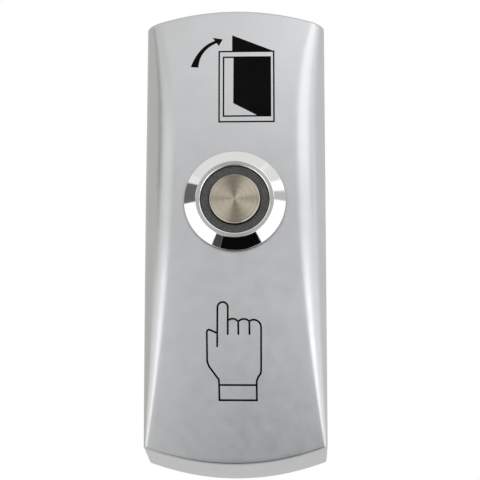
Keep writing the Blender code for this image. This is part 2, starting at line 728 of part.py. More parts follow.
def make_terminal(name, angle, foot_top, group, guides, finish):
    """A bent terminal: a blade through the base, with a foot turned in under or over the disc."""
    foot_low = foot_top - FOOT_THICKNESS
    outline = [
        (BLADE_OUTER, TAIL_END),
        (BLADE_OUTER, foot_top),
        (BLADE_OUTER - FOOT_LENGTH, foot_top),
        (BLADE_OUTER - FOOT_LENGTH, foot_low),
        (BLADE_INNER, foot_low),
        (BLADE_INNER, TAIL_END),
    ]
    blade = flat_piece(name, [outline], -BLADE_WIDTH / 2, BLADE_WIDTH / 2, group, finish)
    blade.rotation_euler = (math.pi, -angle, 0.0)
    blade.location = (0.0, 0.0, SWITCH_HEIGHT)
    hole = cylinder(f"{name}_hole", SOLDER_HOLE_RADIUS, BLADE_INNER - OVERSHOOT, BLADE_OUTER + OVERSHOOT,
                    guides, steps=SMALL_STEPS // 2)
    hole.rotation_euler = (0.0, math.pi / 2 - angle, 0.0)
    hole.location = (0.0, -(TAIL_END + SOLDER_HOLE_HEIGHT), SWITCH_HEIGHT)
    combine(blade, hole, "DIFFERENCE")
    return blade


def main():
    """Build every piece of the exit button."""
    clear_scene()
    group = make_collection("door_exit_button")
    guides = make_collection("guides")
    satin = make_material("satin_chrome_zinc", (0.62, 0.62, 0.61), 0.32, 1.0)
    polished = make_material("polished_steel", (0.75, 0.75, 0.74), 0.08, 1.0)
    brushed = make_material("brushed_nickel", (0.60, 0.56, 0.48), 0.30, 1.0)
    dark_plastic = make_material("dark_plastic", (0.055, 0.054, 0.05), 0.50, 0.0)
    rubber = make_material("black_rubber", (0.02, 0.02, 0.02), 0.80, 0.0)
    zinc_plate = make_material("zinc_plated_steel", (0.55, 0.56, 0.58), 0.40, 1.0)
    spring_steel = make_material("spring_steel", (0.50, 0.50, 0.50), 0.35, 1.0)
    nylon = make_material("black_nylon", (0.03, 0.03, 0.03), 0.55, 0.0)
    acetal = make_material("white_acetal", (0.75, 0.74, 0.70), 0.50, 0.0)
    brass = make_material("silvered_brass", (0.70, 0.66, 0.50), 0.30, 1.0)

    make_front_cover(group, guides, satin)
    make_base_plate(group, guides, zinc_plate)
    make_cover_screws(group, guides, zinc_plate)
    make_switch_bezel(group, polished)
    make_push_cap(group, brushed)
    turned_ring("guide_ring", RING_INNER, RING_OUTER, RING_BOTTOM, RING_TOP, group, dark_plastic,
                RING_CHAMFER, ROUND_STEPS)
    turned_ring("flange_seal", SEAL_INNER, SEAL_OUTER, SEAL_BOTTOM, SEAL_TOP, group, rubber,
                steps=ROUND_STEPS)
    make_lock_washer(group, spring_steel)
    make_fixing_nut(group, guides, zinc_plate)
    make_plunger(group, acetal)
    turned_ring("plunger_seal", ROD_HOLE_RADIUS, ROD_SEAL_OUTER, ROD_SEAL_BOTTOM, FLOOR_TOP, group,
                rubber)
    make_retaining_clip(group, spring_steel)
    make_return_spring(group, spring_steel)
    make_contact_block(group, nylon)
    make_terminal_base(group, guides, nylon)
    turned_ring("contact_disc", PIN_RADIUS + GAP, DISC_RADIUS, DISC_BOTTOM, DISC_TOP, group, brass)
    make_terminal("terminal_no_left", math.pi, NO_FOOT_TOP, group, guides, brass)
    make_terminal("terminal_no_right", 0.0, NO_FOOT_TOP, group, guides, brass)
    make_terminal("terminal_nc_upper", math.pi / 2, NC_FOOT_TOP, group, guides, brass)
    make_terminal("terminal_nc_lower", -math.pi / 2, NC_FOOT_TOP, group, guides, brass)


main()
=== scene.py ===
"""Dressed scene of a door exit button: arched housing, push switch, signs, studio and camera.

The frame is in metres, +Z up. The wall is the plane y = 0 and the button faces -Y, so a height
over the wall is a distance along -Y. Sizes in the classes are in millimetres, and a mesh is
scaled to metres when it is built.
"""

import logging
import math
from collections.abc import Callable
from dataclasses import dataclass, field
from enum import Enum

import bmesh
import bpy
import numpy as np
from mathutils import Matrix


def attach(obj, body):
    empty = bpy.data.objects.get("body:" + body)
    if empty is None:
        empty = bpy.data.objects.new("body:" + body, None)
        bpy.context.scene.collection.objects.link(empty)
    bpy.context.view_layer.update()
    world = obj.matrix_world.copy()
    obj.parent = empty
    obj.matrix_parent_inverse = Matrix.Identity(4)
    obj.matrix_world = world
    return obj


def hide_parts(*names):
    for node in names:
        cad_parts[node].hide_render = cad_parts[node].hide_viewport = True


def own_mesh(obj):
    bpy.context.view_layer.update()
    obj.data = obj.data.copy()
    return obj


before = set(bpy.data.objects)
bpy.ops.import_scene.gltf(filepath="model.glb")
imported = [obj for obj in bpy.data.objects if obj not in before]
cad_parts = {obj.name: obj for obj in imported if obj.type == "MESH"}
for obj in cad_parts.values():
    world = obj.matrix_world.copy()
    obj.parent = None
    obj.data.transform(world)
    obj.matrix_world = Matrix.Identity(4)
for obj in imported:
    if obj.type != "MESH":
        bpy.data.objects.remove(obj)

LOG = logging.getLogger("door_exit_button")
MM = 0.001
SMOOTH_ANGLE = math.radians(32.0)
MERGE_DISTANCE = 2e-7
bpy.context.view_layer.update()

# Heights along Z, in millimetres, that pieces of several classes share.
SWITCH_AXIS = 4.5
BOSS_PLACE = 35.5

Pairs = tuple[tuple[float, float], ...]


class Body(Enum):
    """The moving bodies of the button."""

    HOUSING = "housing"
    BUTTON = "button"


class Slot(Enum):
    """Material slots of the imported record."""

    SATIN = "satin_chrome_zinc"
    POLISHED = "polished_steel"
    BRUSHED = "brushed_nickel"
    PLASTIC = "dark_plastic"
    RUBBER = "black_rubber"
    ZINC = "zinc_plated_steel"
    SPRING = "spring_steel"
    NYLON = "black_nylon"
    ACETAL = "white_acetal"
    BRASS = "silvered_brass"


# ---------------------------------------------------------------------------------------------
# Surfaces
# ---------------------------------------------------------------------------------------------


@dataclass(frozen=True)
class Shell:
    """Vertices in millimetres as (x, height, z) and the four-sided faces between them."""

    points: np.ndarray
    quads: np.ndarray

    def outward(self) -> "Shell":
        """Turn a closed shell's faces outwards, by the sign of the volume that they enclose."""
        a, b, c, d = (self.points[self.quads[:, k]] for k in range(4))
        volume = np.einsum("ij,ij->i", a, np.cross(b, c)).sum()
        volume += np.einsum("ij,ij->i", a, np.cross(c, d)).sum()
        # A height counts along -Y, which mirrors the shell when it is built.
        return Shell(self.points, self.quads if volume < 0 else self.quads[:, ::-1])


def joined(shells: list[Shell]) -> Shell:
    """Several shells as one.

    Args:
        shells: The shells to put together.

    Returns:
        One shell with all points and faces.
    """
    starts = np.cumsum([0] + [len(shell.points) for shell in shells[:-1]])
    return Shell(
        np.vstack([shell.points for shell in shells]),
        np.vstack([shell.quads + start for shell, start in zip(shells, starts)]),
    )


def grid_quads(rows: int, columns: int, wrap_rows: bool = False,
               wrap_columns: bool = False) -> np.ndarray:
    """Faces of a rows by columns grid, its last row or column joined to the first on request.

    Args:
        rows: Number of rows.
        columns: Number of columns.
        wrap_rows: Whether the last row meets the first.
        wrap_columns: Whether the last column meets the first.

    Returns:
        Vertex numbers, four for each face.
    """
    index = np.arange(rows * columns).reshape(rows, columns)
    if wrap_rows:
        index = np.vstack([index, index[:1]])
    if wrap_columns:
        index = np.hstack([index, index[:, :1]])
    corners = (index[:-1, :-1], index[:-1, 1:], index[1:, 1:], index[1:, :-1])
    return np.stack(corners, axis=-1).reshape(-1, 4)


def grid_shell(grid: np.ndarray, wrap_rows: bool = False, wrap_columns: bool = False) -> Shell:
    """A shell from a grid of points, given as (rows, columns, 3)."""
    rows, columns = grid.shape[:2]
    return Shell(grid.reshape(-1, 3), grid_quads(rows, columns, wrap_rows, wrap_columns))


def level_line(x: np.ndarray, height: float) -> np.ndarray:
    """Points (x, height), all at one height."""
    return np.stack([x, np.full_like(x, height)], axis=-1)


def softened(profile: np.ndarray, radius: float | np.ndarray, closed: bool, steps: int = 4
             ) -> np.ndarray:
    """A profile whose corners are rounded.

    Each corner P gives way to the parabola (1-t)^2 A + 2t(1-t) P + t^2 B between a point A on
    the side before it and a point B on the side after it, and a further point on each side keeps
    the flats flat.

    Args:
        profile: Corners, as (n, 2) or (n, 3).
        radius: How far from the corner the rounding starts, at most 0.4 of a side. A column
            gives one for each corner.
        closed: Whether the last corner meets the first.
        steps: Faces across one corner.

    Returns:
        Points of the rounded profile.
    """
    before = np.roll(profile, 1, axis=0) - profile
    after = np.roll(profile, -1, axis=0) - profile
    length_before = np.linalg.norm(before, axis=1, keepdims=True)
    length_after = np.linalg.norm(after, axis=1, keepdims=True)
    reach_before = np.minimum(radius, 0.4 * length_before) / np.maximum(length_before, 1e-9)
    reach_after = np.minimum(radius, 0.4 * length_after) / np.maximum(length_after, 1e-9)
    start = (profile + before * reach_before)[:, None]
    end = (profile + after * reach_after)[:, None]
    t = np.linspace(0.0, 1.0, steps + 1)[None, :, None]
    bend = (1 - t) ** 2 * start + 2 * t * (1 - t) * profile[:, None] + t ** 2 * end
    guard_before = (profile + before * reach_before * 1.2)[:, None]
    guard_after = (profile + after * reach_after * 1.2)[:, None]
    rounded = np.concatenate([guard_before, bend, guard_after], axis=1)
    if closed:
        return rounded.reshape(-1, profile.shape[1])
    middle = rounded[1:-1].reshape(-1, profile.shape[1])
    return np.vstack([profile[:1], middle, profile[-1:]])


def turned(profile: np.ndarray, centre: float, steps: int = 128, closed: bool = True) -> Shell:
    """A solid of revolution about an axis that stands on the wall.

    A point (radius, height) of the profile becomes (radius cos t, height, centre + radius sin t)
    for t round the full circle.

    Args:
        profile: (radius, height) points.
        centre: Height of the axis along Z.
        steps: Faces round the circle.
        closed: Whether the profile's last point meets its first.

    Returns:
        The shell, its faces outwards.
    """
    angle = np.linspace(0.0, 2 * math.pi, steps, endpoint=False)[None, :]
    radius, height = profile[:, :1], profile[:, 1:]
    grid = np.stack([radius * np.cos(angle), height + 0 * angle,
                     centre + radius * np.sin(angle)], axis=-1)
    return grid_shell(grid, closed, True).outward()


def bar(size: tuple[float, float, float], centre: tuple[float, float, float],
        radius: float) -> Shell:
    """A bar with rounded edges.

    A rounded rectangle in x and height is carried along z and shrinks to a line at both ends.

    Args:
        size: Width, depth and length along z.
        centre: Its middle.
        radius: Rounding of its edges.

    Returns:
        The closed shell.
    """
    width, depth, length = size
    corners = np.array([(1, 1), (-1, 1), (-1, -1), (1, -1)]) * np.array([width, depth]) / 2
    section = softened(corners, radius, True)
    inner = section * (1 - 2 * radius / np.array([width, depth]))
    half = length / 2
    rows = [(inner * (1, 0), -half), (inner, -half), (section, radius - half),
            (section, half - radius), (inner, half), (inner * (1, 0), half)]
    grid = np.stack([np.column_stack([ring, np.full(len(ring), z)]) for ring, z in rows])
    return grid_shell(grid + np.array(centre), False, True).outward()


def tube(path: np.ndarray, radius: float, sides: int = 14) -> Shell:
    """A round wire along a path, closed at both ends.

    Each path point carries a circle in the plane across the path, spanned by the direction away
    from the switch's axis and the one at right angles to it, and the circle shrinks at the ends.

    Args:
        path: (n, 3) points round the height axis through x = 0, z = 0.
        radius: Radius of the wire.
        sides: Faces round the wire.

    Returns:
        The closed shell.
    """
    along = np.gradient(path, axis=0)
    along /= np.linalg.norm(along, axis=1, keepdims=True)
    away = path * np.array([1.0, 0.0, 1.0])
    away /= np.linalg.norm(away, axis=1, keepdims=True)
    across = np.cross(along, away)
    angle = np.linspace(0.0, 2 * math.pi, sides, endpoint=False)[None, :, None]
    size = np.full((len(path), 1, 1), radius)
    size[[0, -1]] = 0.0
    grid = path[:, None] + size * (np.cos(angle) * away[:, None] + np.sin(angle) * across[:, None])
    return grid_shell(grid, False, True).outward()


def outline_reach(inside: Callable[[np.ndarray, np.ndarray], np.ndarray], angle: np.ndarray,
                  limit: float) -> np.ndarray:
    """Distance from an opening's centre to its outline along each ray, found by halving.

    Args:
        inside: Tells which points (x, z), counted from the centre, lie in the opening.
        angle: Directions of the rays.
        limit: A distance that is outside in each direction.

    Returns:
        One distance for each angle.
    """
    low, high = np.zeros_like(angle), np.full_like(angle, limit)
    for _ in range(30):
        middle = (low + high) / 2
        held = inside(middle * np.cos(angle), middle * np.sin(angle))
        low, high = np.where(held, middle, low), np.where(held, high, middle)
    return low


def built(name: str, shell: Shell, finish: bpy.types.Material, body: Body,
          stands_for: tuple[str, ...] = (), recalculate: bool = False
          ) -> bpy.types.Object:
    """Make a mesh object of a shell and register it with the frame.

    Args:
        name: Name of the piece.
        shell: Its surface in millimetres.
        finish: Its material.
        body: The body that it rides on.
        stands_for: CAD nodes that it replaces.
        recalculate: Whether the faces are turned outwards by Blender after merging.

    Returns:
        The object, at the origin.
    """
    used, quads = np.unique(shell.quads, return_inverse=True)
    points = shell.points[used] * np.array([MM, -MM, MM])
    mesh = bpy.data.meshes.new(name)
    mesh.from_pydata(points.tolist(), [], quads.reshape(-1, 4).tolist())
    work = bmesh.new()
    work.from_mesh(mesh)
    bmesh.ops.remove_doubles(work, verts=work.verts, dist=MERGE_DISTANCE)
    bmesh.ops.dissolve_degenerate(work, edges=work.edges, dist=MERGE_DISTANCE)
    if recalculate:
        bmesh.ops.recalc_face_normals(work, faces=work.faces)
    work.to_mesh(mesh)
    work.free()
    mesh.shade_smooth()
    mesh.set_sharp_from_angle(angle=SMOOTH_ANGLE)
    mesh.materials.append(finish)
    piece = bpy.data.objects.new(name, mesh)
    bpy.context.scene.collection.objects.link(piece)
    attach(piece, body.value)
    if stands_for:
        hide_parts(*stands_for)
    LOG.info("%s: %d faces", name, len(mesh.polygons))
    return piece


def map_rings(piece: bpy.types.Object, axis: float) -> None:
    """Give a turned piece the UV map "rings": U runs out from the axis, V round it.

    V is the angle of a corner, counted from the middle of its face so that no face crosses the
    seam, and U is the radius plus a share of the height, so that walls have an extent too.

    Args:
        piece: The turned piece.
        axis: Height of its axis along Z, in millimetres.
    """
    mesh = piece.data
    corners = np.empty(len(mesh.loops), np.int32)
    mesh.loops.foreach_get("vertex_index", corners)
    points = np.empty(len(mesh.vertices) * 3, np.float32)
    mesh.vertices.foreach_get("co", points)
    places = points.reshape(-1, 3)[corners] / (MM, -MM, MM)
    x, height, z = places.T - np.array([[0], [0], [axis]])
    sizes = np.empty(len(mesh.polygons), np.int32)
    mesh.polygons.foreach_get("loop_total", sizes)
    owner = np.repeat(np.arange(len(sizes)), sizes)
    middle = np.arctan2(np.bincount(owner, z) / sizes, np.bincount(owner, x) / sizes)[owner]
    turn = np.mod(np.arctan2(z, x) - middle + math.pi, 2 * math.pi) - math.pi
    radius = np.hypot(x, z)
    turn = np.where(radius < 1e-4, 0.0, turn)
    uv = np.stack([(radius + 0.1 * height) / 20, (middle + turn) / (2 * math.pi)], axis=-1)
    mesh.uv_layers.new(name="rings").data.foreach_set("uv", uv.astype(np.float32).ravel())


# ---------------------------------------------------------------------------------------------
# Finishes
# ---------------------------------------------------------------------------------------------

Socket = bpy.types.NodeSocket
ONE_INPUT = ("SINE", "ARCSINE", "FRACT", "ABSOLUTE", "SQRT")


class NodeSheet:
    """A node tree being drawn up, with short words for the nodes that the finishes share."""

    def __init__(self, tree: bpy.types.NodeTree, empty: bool = True) -> None:
        """Start with an empty tree, or go on with one that has nodes."""
        self.tree = tree
        if empty:
            self.tree.nodes.clear()

    def node(self, kind: str, **settings: object) -> bpy.types.Node:
        """Add a node and set its properties."""
        made = self.tree.nodes.new(kind)
        for key, value in settings.items():
            setattr(made, key, value)
        return made

    def feed(self, socket: Socket, value: object) -> None:
        """Link a socket into another, or write a plain value on it."""
        if isinstance(value, bpy.types.NodeSocket):
            self.tree.links.new(value, socket)
        else:
            socket.default_value = value

    def math(self, operation: str, first: object, second: object = 0.0) -> Socket:
        """Result of a Math node."""
        made = self.node("ShaderNodeMath", operation=operation)
        self.feed(made.inputs[0], first)
        if operation not in ONE_INPUT:
            self.feed(made.inputs[1], second)
        return made.outputs[0]

    def place(self) -> Socket:
        """The point on the piece, in metres of the shared frame."""
        return self.node("ShaderNodeTexCoord").outputs["Object"]

    def parts(self, vector: Socket) -> tuple[Socket, Socket, Socket]:
        """Components of a vector."""
        made = self.node("ShaderNodeSeparateXYZ")
        self.feed(made.inputs[0], vector)
        return made.outputs[0], made.outputs[1], made.outputs[2]

    def noise(self, size: float, detail: float = 3.0, vector: Socket | None = None) -> Socket:
        """Noise with features of about a size in metres, from 0 to 1 round 0.5."""
        made = self.node("ShaderNodeTexNoise")
        self.feed(made.inputs["Vector"], vector or self.place())
        made.inputs["Scale"].default_value = 1.0 / size
        made.inputs["Detail"].default_value = detail
        return made.outputs["Fac"]

    def span(self, value: Socket, low: float, high: float, start: object, end: object,
             soft: bool = False) -> Socket:
        """A value that runs from start to end while the input goes from low to high."""
        made = self.node("ShaderNodeMapRange",
                         interpolation_type="SMOOTHSTEP" if soft else "LINEAR")
        self.feed(made.inputs["Value"], value)
        made.inputs["From Min"].default_value = low
        made.inputs["From Max"].default_value = high
        self.feed(made.inputs["To Min"], start)
        self.feed(made.inputs["To Max"], end)
        return made.outputs["Result"]

    def tint(self, share: Socket, first: object, second: object) -> Socket:
        """A colour between two, each a socket or a triple, by a share."""
        made = self.node("ShaderNodeMix", data_type="RGBA")
        self.feed(made.inputs[0], share)
        colours = [socket for socket in made.inputs if socket.type == "RGBA"]
        for socket, colour in zip(colours, (first, second)):
            self.feed(socket, (*colour, 1.0) if isinstance(colour, tuple) else colour)
        return next(socket for socket in made.outputs if socket.type == "RGBA")

    def bump(self, height: Socket, strength: float, distance: float,
             normal: Socket | None = None) -> Socket:
        """A normal bent by a height pattern, whose full height is a distance in metres."""
        made = self.node("ShaderNodeBump")
        made.inputs["Strength"].default_value = strength
        made.inputs["Distance"].default_value = distance
        self.feed(made.inputs["Height"], height)
        if normal is not None:
            self.feed(made.inputs["Normal"], normal)
        return made.outputs["Normal"]


@dataclass(frozen=True)
class Finish:
    """A finish with a colour, a cloudy variation of it, a roughness and a fine grain."""

    name: str
    colour: tuple[float, float, float]
    shade: tuple[float, float, float]
    metallic: float
    roughness: float
    roughness_spread: float
    grain_size: float
    grain_height: float
    cloud_size: float = 0.006
    specular: float = 0.5

    def draft(self) -> tuple[bpy.types.Material, NodeSheet, bpy.types.Node]:
        """Start the material.

        Returns:
            The material, its node sheet and its shader node.
        """
        material = bpy.data.materials.new(self.name)
        material.use_nodes = True
        sheet = NodeSheet(material.node_tree)
        output = sheet.node("ShaderNodeOutputMaterial")
        shader = sheet.node("ShaderNodeBsdfPrincipled")
        sheet.feed(output.inputs["Surface"], shader.outputs["BSDF"])
        shader.inputs["Metallic"].default_value = self.metallic
        shader.inputs["Specular IOR Level"].default_value = self.specular
        return material, sheet, shader

    def rough(self, sheet: NodeSheet) -> Socket:
        """Roughness with its cloudy spread."""
        low, high = self.roughness - self.roughness_spread, self.roughness + self.roughness_spread
        return sheet.span(sheet.noise(self.cloud_size / 3), 0.3, 0.7, low, high)

    def coat(self, sheet: NodeSheet, shader: bpy.types.Node, colour: Socket) -> None:
        """Give the shader its colour, its roughness and its grain."""
        sheet.feed(shader.inputs["Base Color"], colour)
        sheet.feed(shader.inputs["Roughness"], self.rough(sheet))
        grain = sheet.noise(self.grain_size, 2.0)
        sheet.feed(shader.inputs["Normal"], sheet.bump(grain, 1.0, self.grain_height))

    def material(self) -> bpy.types.Material:
        """The finish as a material of its own."""
        material, sheet, shader = self.draft()
        cloud = sheet.span(sheet.noise(self.cloud_size, 4.0), 0.35, 0.65, 0.0, 1.0)
        self.coat(sheet, shader, sheet.tint(cloud, self.shade, self.colour))
        return material


@dataclass(frozen=True)
class SpeckledFinish(Finish):
    """A moulded plastic whose surface glitters with small light and dark specks."""

    speck: tuple[float, float, float] = (0.12, 0.12, 0.11)
    speck_size: float = 0.00022

    def material(self) -> bpy.types.Material:
        """The finish with its specks."""
        material, sheet, shader = self.draft()
        specks = sheet.span(sheet.noise(self.speck_size, 2.0), 0.42, 0.62, 0.0, 1.0)
        self.coat(sheet, shader, sheet.tint(specks, self.colour, self.speck))
        return material


@dataclass(frozen=True)
class FloorFinish(Finish):
    """A matt floor that thins out with distance from the middle, so that no edge shows."""

    full_radius: float = 0.45
    end_radius: float = 0.88

    def material(self) -> bpy.types.Material:
        """The finish, opaque in the middle and gone at its end."""
        material = super().material()
        sheet = NodeSheet(material.node_tree, False)
        shader = next(node for node in sheet.tree.nodes if node.type == "BSDF_PRINCIPLED")
        x, y, _ = sheet.parts(sheet.place())
        square = sheet.math("ADD", sheet.math("MULTIPLY", x, x), sheet.math("MULTIPLY", y, y))
        sheet.feed(shader.inputs["Alpha"], sheet.span(
            sheet.math("SQRT", square), self.full_radius, self.end_radius, 1.0, 0.0, True))
        return material


@dataclass(frozen=True)
class TurnedFinish(Finish):
    """A turned metal with fine rings on a zone about the switch's axis, polished elsewhere.

    The edge of the flange is painted dull and dark: painted shade where it stands just over the
    panel.
    """

    axis_height: float = SWITCH_AXIS * MM
    ring_pitch: float = 0.00012
    ring_height: float = 0.0000006
    zone: tuple[float, float] = (0.00626, 0.0069)
    polished_roughness: float = 0.035
    polished_colour: tuple[float, float, float] = (0.9, 0.9, 0.89)
    # Painted shade: the flange's edge beyond this radius takes the dark colour below.
    shaded_rim_radius: float = 0.00897
    painted_shade_colour: tuple[float, float, float] = (0.2, 0.2, 0.2)
    anisotropic: float = 0.0
    blur: float = 0.00001

    def radius(self, sheet: NodeSheet) -> Socket:
        """Distance of the point from the switch's axis."""
        x, _, z = sheet.parts(sheet.place())
        rise = sheet.math("SUBTRACT", z, self.axis_height)
        square = sheet.math("ADD", sheet.math("MULTIPLY", x, x), sheet.math("MULTIPLY", rise, rise))
        return sheet.math("SQRT", square)

    def material(self) -> bpy.types.Material:
        """The finish with its rings, whose light runs across them."""
        material, sheet, shader = self.draft()
        radius = self.radius(sheet)
        line = sheet.node("ShaderNodeCombineXYZ")
        sheet.feed(line.inputs[0], radius)
        rings = sheet.noise(self.ring_pitch, 3.0, line.outputs[0])
        start, end = self.zone
        inside = sheet.math("MULTIPLY",
                            sheet.span(radius, start - self.blur, start + self.blur, 0.0, 1.0),
                            sheet.span(radius, end - self.blur, end + self.blur, 1.0, 0.0))
        cloud = sheet.math("MULTIPLY", sheet.span(rings, 0.3, 0.7, 0.0, 1.0),
                           sheet.span(sheet.noise(self.cloud_size, 3.0), 0.35, 0.65, 0.4, 1.0))
        colour = sheet.tint(inside, self.polished_colour,
                            sheet.tint(cloud, self.shade, self.colour))
        # Painted shade on the flange's edge: a dark colour beyond its radius.
        edge = sheet.span(radius, self.shaded_rim_radius - self.blur, self.shaded_rim_radius + self.blur,
                          0.0, 1.0)
        colour = sheet.tint(edge, colour, self.painted_shade_colour)
        rough = sheet.span(inside, 0.0, 1.0, self.polished_roughness, self.rough(sheet))
        sheet.feed(shader.inputs["Base Color"], colour)
        sheet.feed(shader.inputs["Roughness"], rough)
        shader.inputs["Anisotropic"].default_value = self.anisotropic
        tangent = sheet.node("ShaderNodeTangent", direction_type="UV_MAP", uv_map="rings")
        sheet.feed(shader.inputs["Tangent"], tangent.outputs[0])
        sheet.feed(shader.inputs["Normal"], sheet.bump(
            sheet.math("MULTIPLY", rings, inside), 1.0, self.ring_height))
        return material


@dataclass(frozen=True)
class Finishes:
    """All finishes of the button, each made once."""

    satin: Finish = Finish("satin_chrome", (0.628, 0.633, 0.638), (0.608, 0.613, 0.618), 1.0,
                           0.30, 0.02, 0.00011, 0.000001)
    casting: Finish = Finish("raw_casting", (0.33, 0.335, 0.34), (0.24, 0.245, 0.25), 1.0,
                             0.52, 0.06, 0.0004, 0.00001, cloud_size=0.005)
    bezel: TurnedFinish = TurnedFinish("polished_bezel", (0.60, 0.595, 0.585), (0.52, 0.515, 0.505),
                                       1.0, 0.28, 0.01, 0.0001, 0.0, anisotropic=0.6)
    cap: TurnedFinish = TurnedFinish("brushed_cap", (0.60, 0.545, 0.44), (0.38, 0.34, 0.265), 1.0,
                                     0.42, 0.02, 0.0001, 0.0, ring_pitch=0.0002,
                                     zone=(-1.0, 0.00431), polished_roughness=0.12,
                                     polished_colour=(0.72, 0.69, 0.62), anisotropic=1.0)
    ring: SpeckledFinish = SpeckledFinish("speckled_ring", (0.016, 0.016, 0.015),
                                          (0.03, 0.03, 0.03), 0.0, 0.5, 0.06, 0.0002, 0.00001,
                                          speck=(0.075, 0.075, 0.07), speck_size=0.00013)
    rubber: Finish = Finish("seal_rubber", (0.024, 0.024, 0.024), (0.016, 0.016, 0.016), 0.0,
                            0.75, 0.05, 0.0002, 0.000006)
    zinc: Finish = Finish("zinc_plate", (0.66, 0.68, 0.71), (0.57, 0.58, 0.58), 1.0,
                          0.34, 0.05, 0.0003, 0.000003, cloud_size=0.004)
    spring: Finish = Finish("spring_wire", (0.52, 0.52, 0.51), (0.43, 0.43, 0.42), 1.0,
                            0.28, 0.04, 0.0002, 0.000002)
    nylon: Finish = Finish("moulded_nylon", (0.035, 0.035, 0.036), (0.026, 0.026, 0.027), 0.0,
                           0.5, 0.05, 0.0003, 0.000008)
    acetal: Finish = Finish("turned_acetal", (0.76, 0.75, 0.71), (0.71, 0.70, 0.66), 0.0,
                            0.42, 0.05, 0.0003, 0.000004)
    brass: Finish = Finish("silvered_contact", (0.74, 0.71, 0.62), (0.62, 0.56, 0.42), 1.0,
                           0.30, 0.05, 0.0002, 0.000002, cloud_size=0.002)
    ink: Finish = Finish("printed_ink", (0.0015, 0.0015, 0.0018), (0.003, 0.003, 0.0033), 0.0,
                         0.55, 0.05, 0.00015, 0.000002, specular=0.03)


# ---------------------------------------------------------------------------------------------
# Housing
# ---------------------------------------------------------------------------------------------


@dataclass(frozen=True)
class HousingForm:
    """Form of the housing: an arched front with soft shoulders that widen at the waist."""

    half_width: float = 16.0
    half_length: float = 41.5
    end_sag: float = 3.0
    face_height: float = 22.0
    end_height: float = 17.0
    crown: float = 0.25
    ridge: float = SWITCH_AXIS
    shoulder_waist: float = 5.3
    shoulder_bottom: float = 0.6
    shoulder_top: float = 2.4
    shoulder_rise: float = 0.85
    waist: float = 17.0
    edge_round: float = 0.4
    wall: float = 2.0

    def arch(self, z: np.ndarray) -> np.ndarray:
        """Height of the front: a parabola that is highest at the switch and falls to each end."""
        end = np.where(z >= self.ridge, self.half_length, -self.half_length)
        share = (z - self.ridge) / (end - self.ridge)
        return self.face_height - (self.face_height - self.end_height) * share ** 2

    def shoulder(self, z: np.ndarray) -> np.ndarray:
        """Width of the shoulder: a parabola that is widest at the waist."""
        corner = self.half_length - self.end_sag
        end_width = np.where(z > self.waist, self.shoulder_top, self.shoulder_bottom)
        share = (z - self.waist) / (np.where(z > self.waist, corner, -corner) - self.waist)
        return self.shoulder_waist - (self.shoulder_waist - end_width) * share ** 2

    def reach(self, x: np.ndarray) -> np.ndarray:
        """Half the body's length at a distance from its middle line: an arc-like parabola."""
        return self.half_length - self.end_sag * (x / self.half_width) ** 2

    def face(self, x: np.ndarray, z: np.ndarray) -> np.ndarray:
        """Height of the panel between the shoulders: the arch less a slight crown across."""
        return self.arch(z) - self.crown * (x / self.half_width) ** 2

    def sections(self, share: np.ndarray, end_inset: np.ndarray, inset: np.ndarray,
                 turns: int, across: int) -> np.ndarray:
        """Cross sections of the skin.

        Each row is a quarter of an ellipse for one shoulder, the face, and the other shoulder.
        A point's z is the row's share of the body's reach at its x, so the rows bend with the
        ends.

        Args:
            share: Place of each row along the body, from -1 to 1.
            end_inset: How far each row is moved in from the ends.
            inset: How far each row is moved in from the skin.
            turns: Steps over a shoulder.
            across: Steps over the face.

        Returns:
            Points as (rows, columns, 3).
        """
        share, end_inset, inset = (values[:, None] for values in (share, end_inset, inset))
        half = self.half_width - inset
        corner = self.half_length - self.end_sag
        width = np.maximum(self.shoulder(share * corner) - inset, self.edge_round / 2)
        angle = np.linspace(0.0, math.pi / 2, turns + 1)[None]
        side = half - width * (1 - np.cos(angle))
        side_drop = width * self.shoulder_rise * (1 - np.sin(angle))
        middle = (half - width) * (1 - 2 * np.arange(1, across) / across)[None]
        x = np.hstack([side, middle, -side[:, ::-1]])
        drop = np.hstack([side_drop, 0 * middle, side_drop[:, ::-1]])
        z = share * (self.reach(x) - end_inset)
        height = self.face(x, z) - inset - drop
        return np.stack([x, height, z], axis=-1)


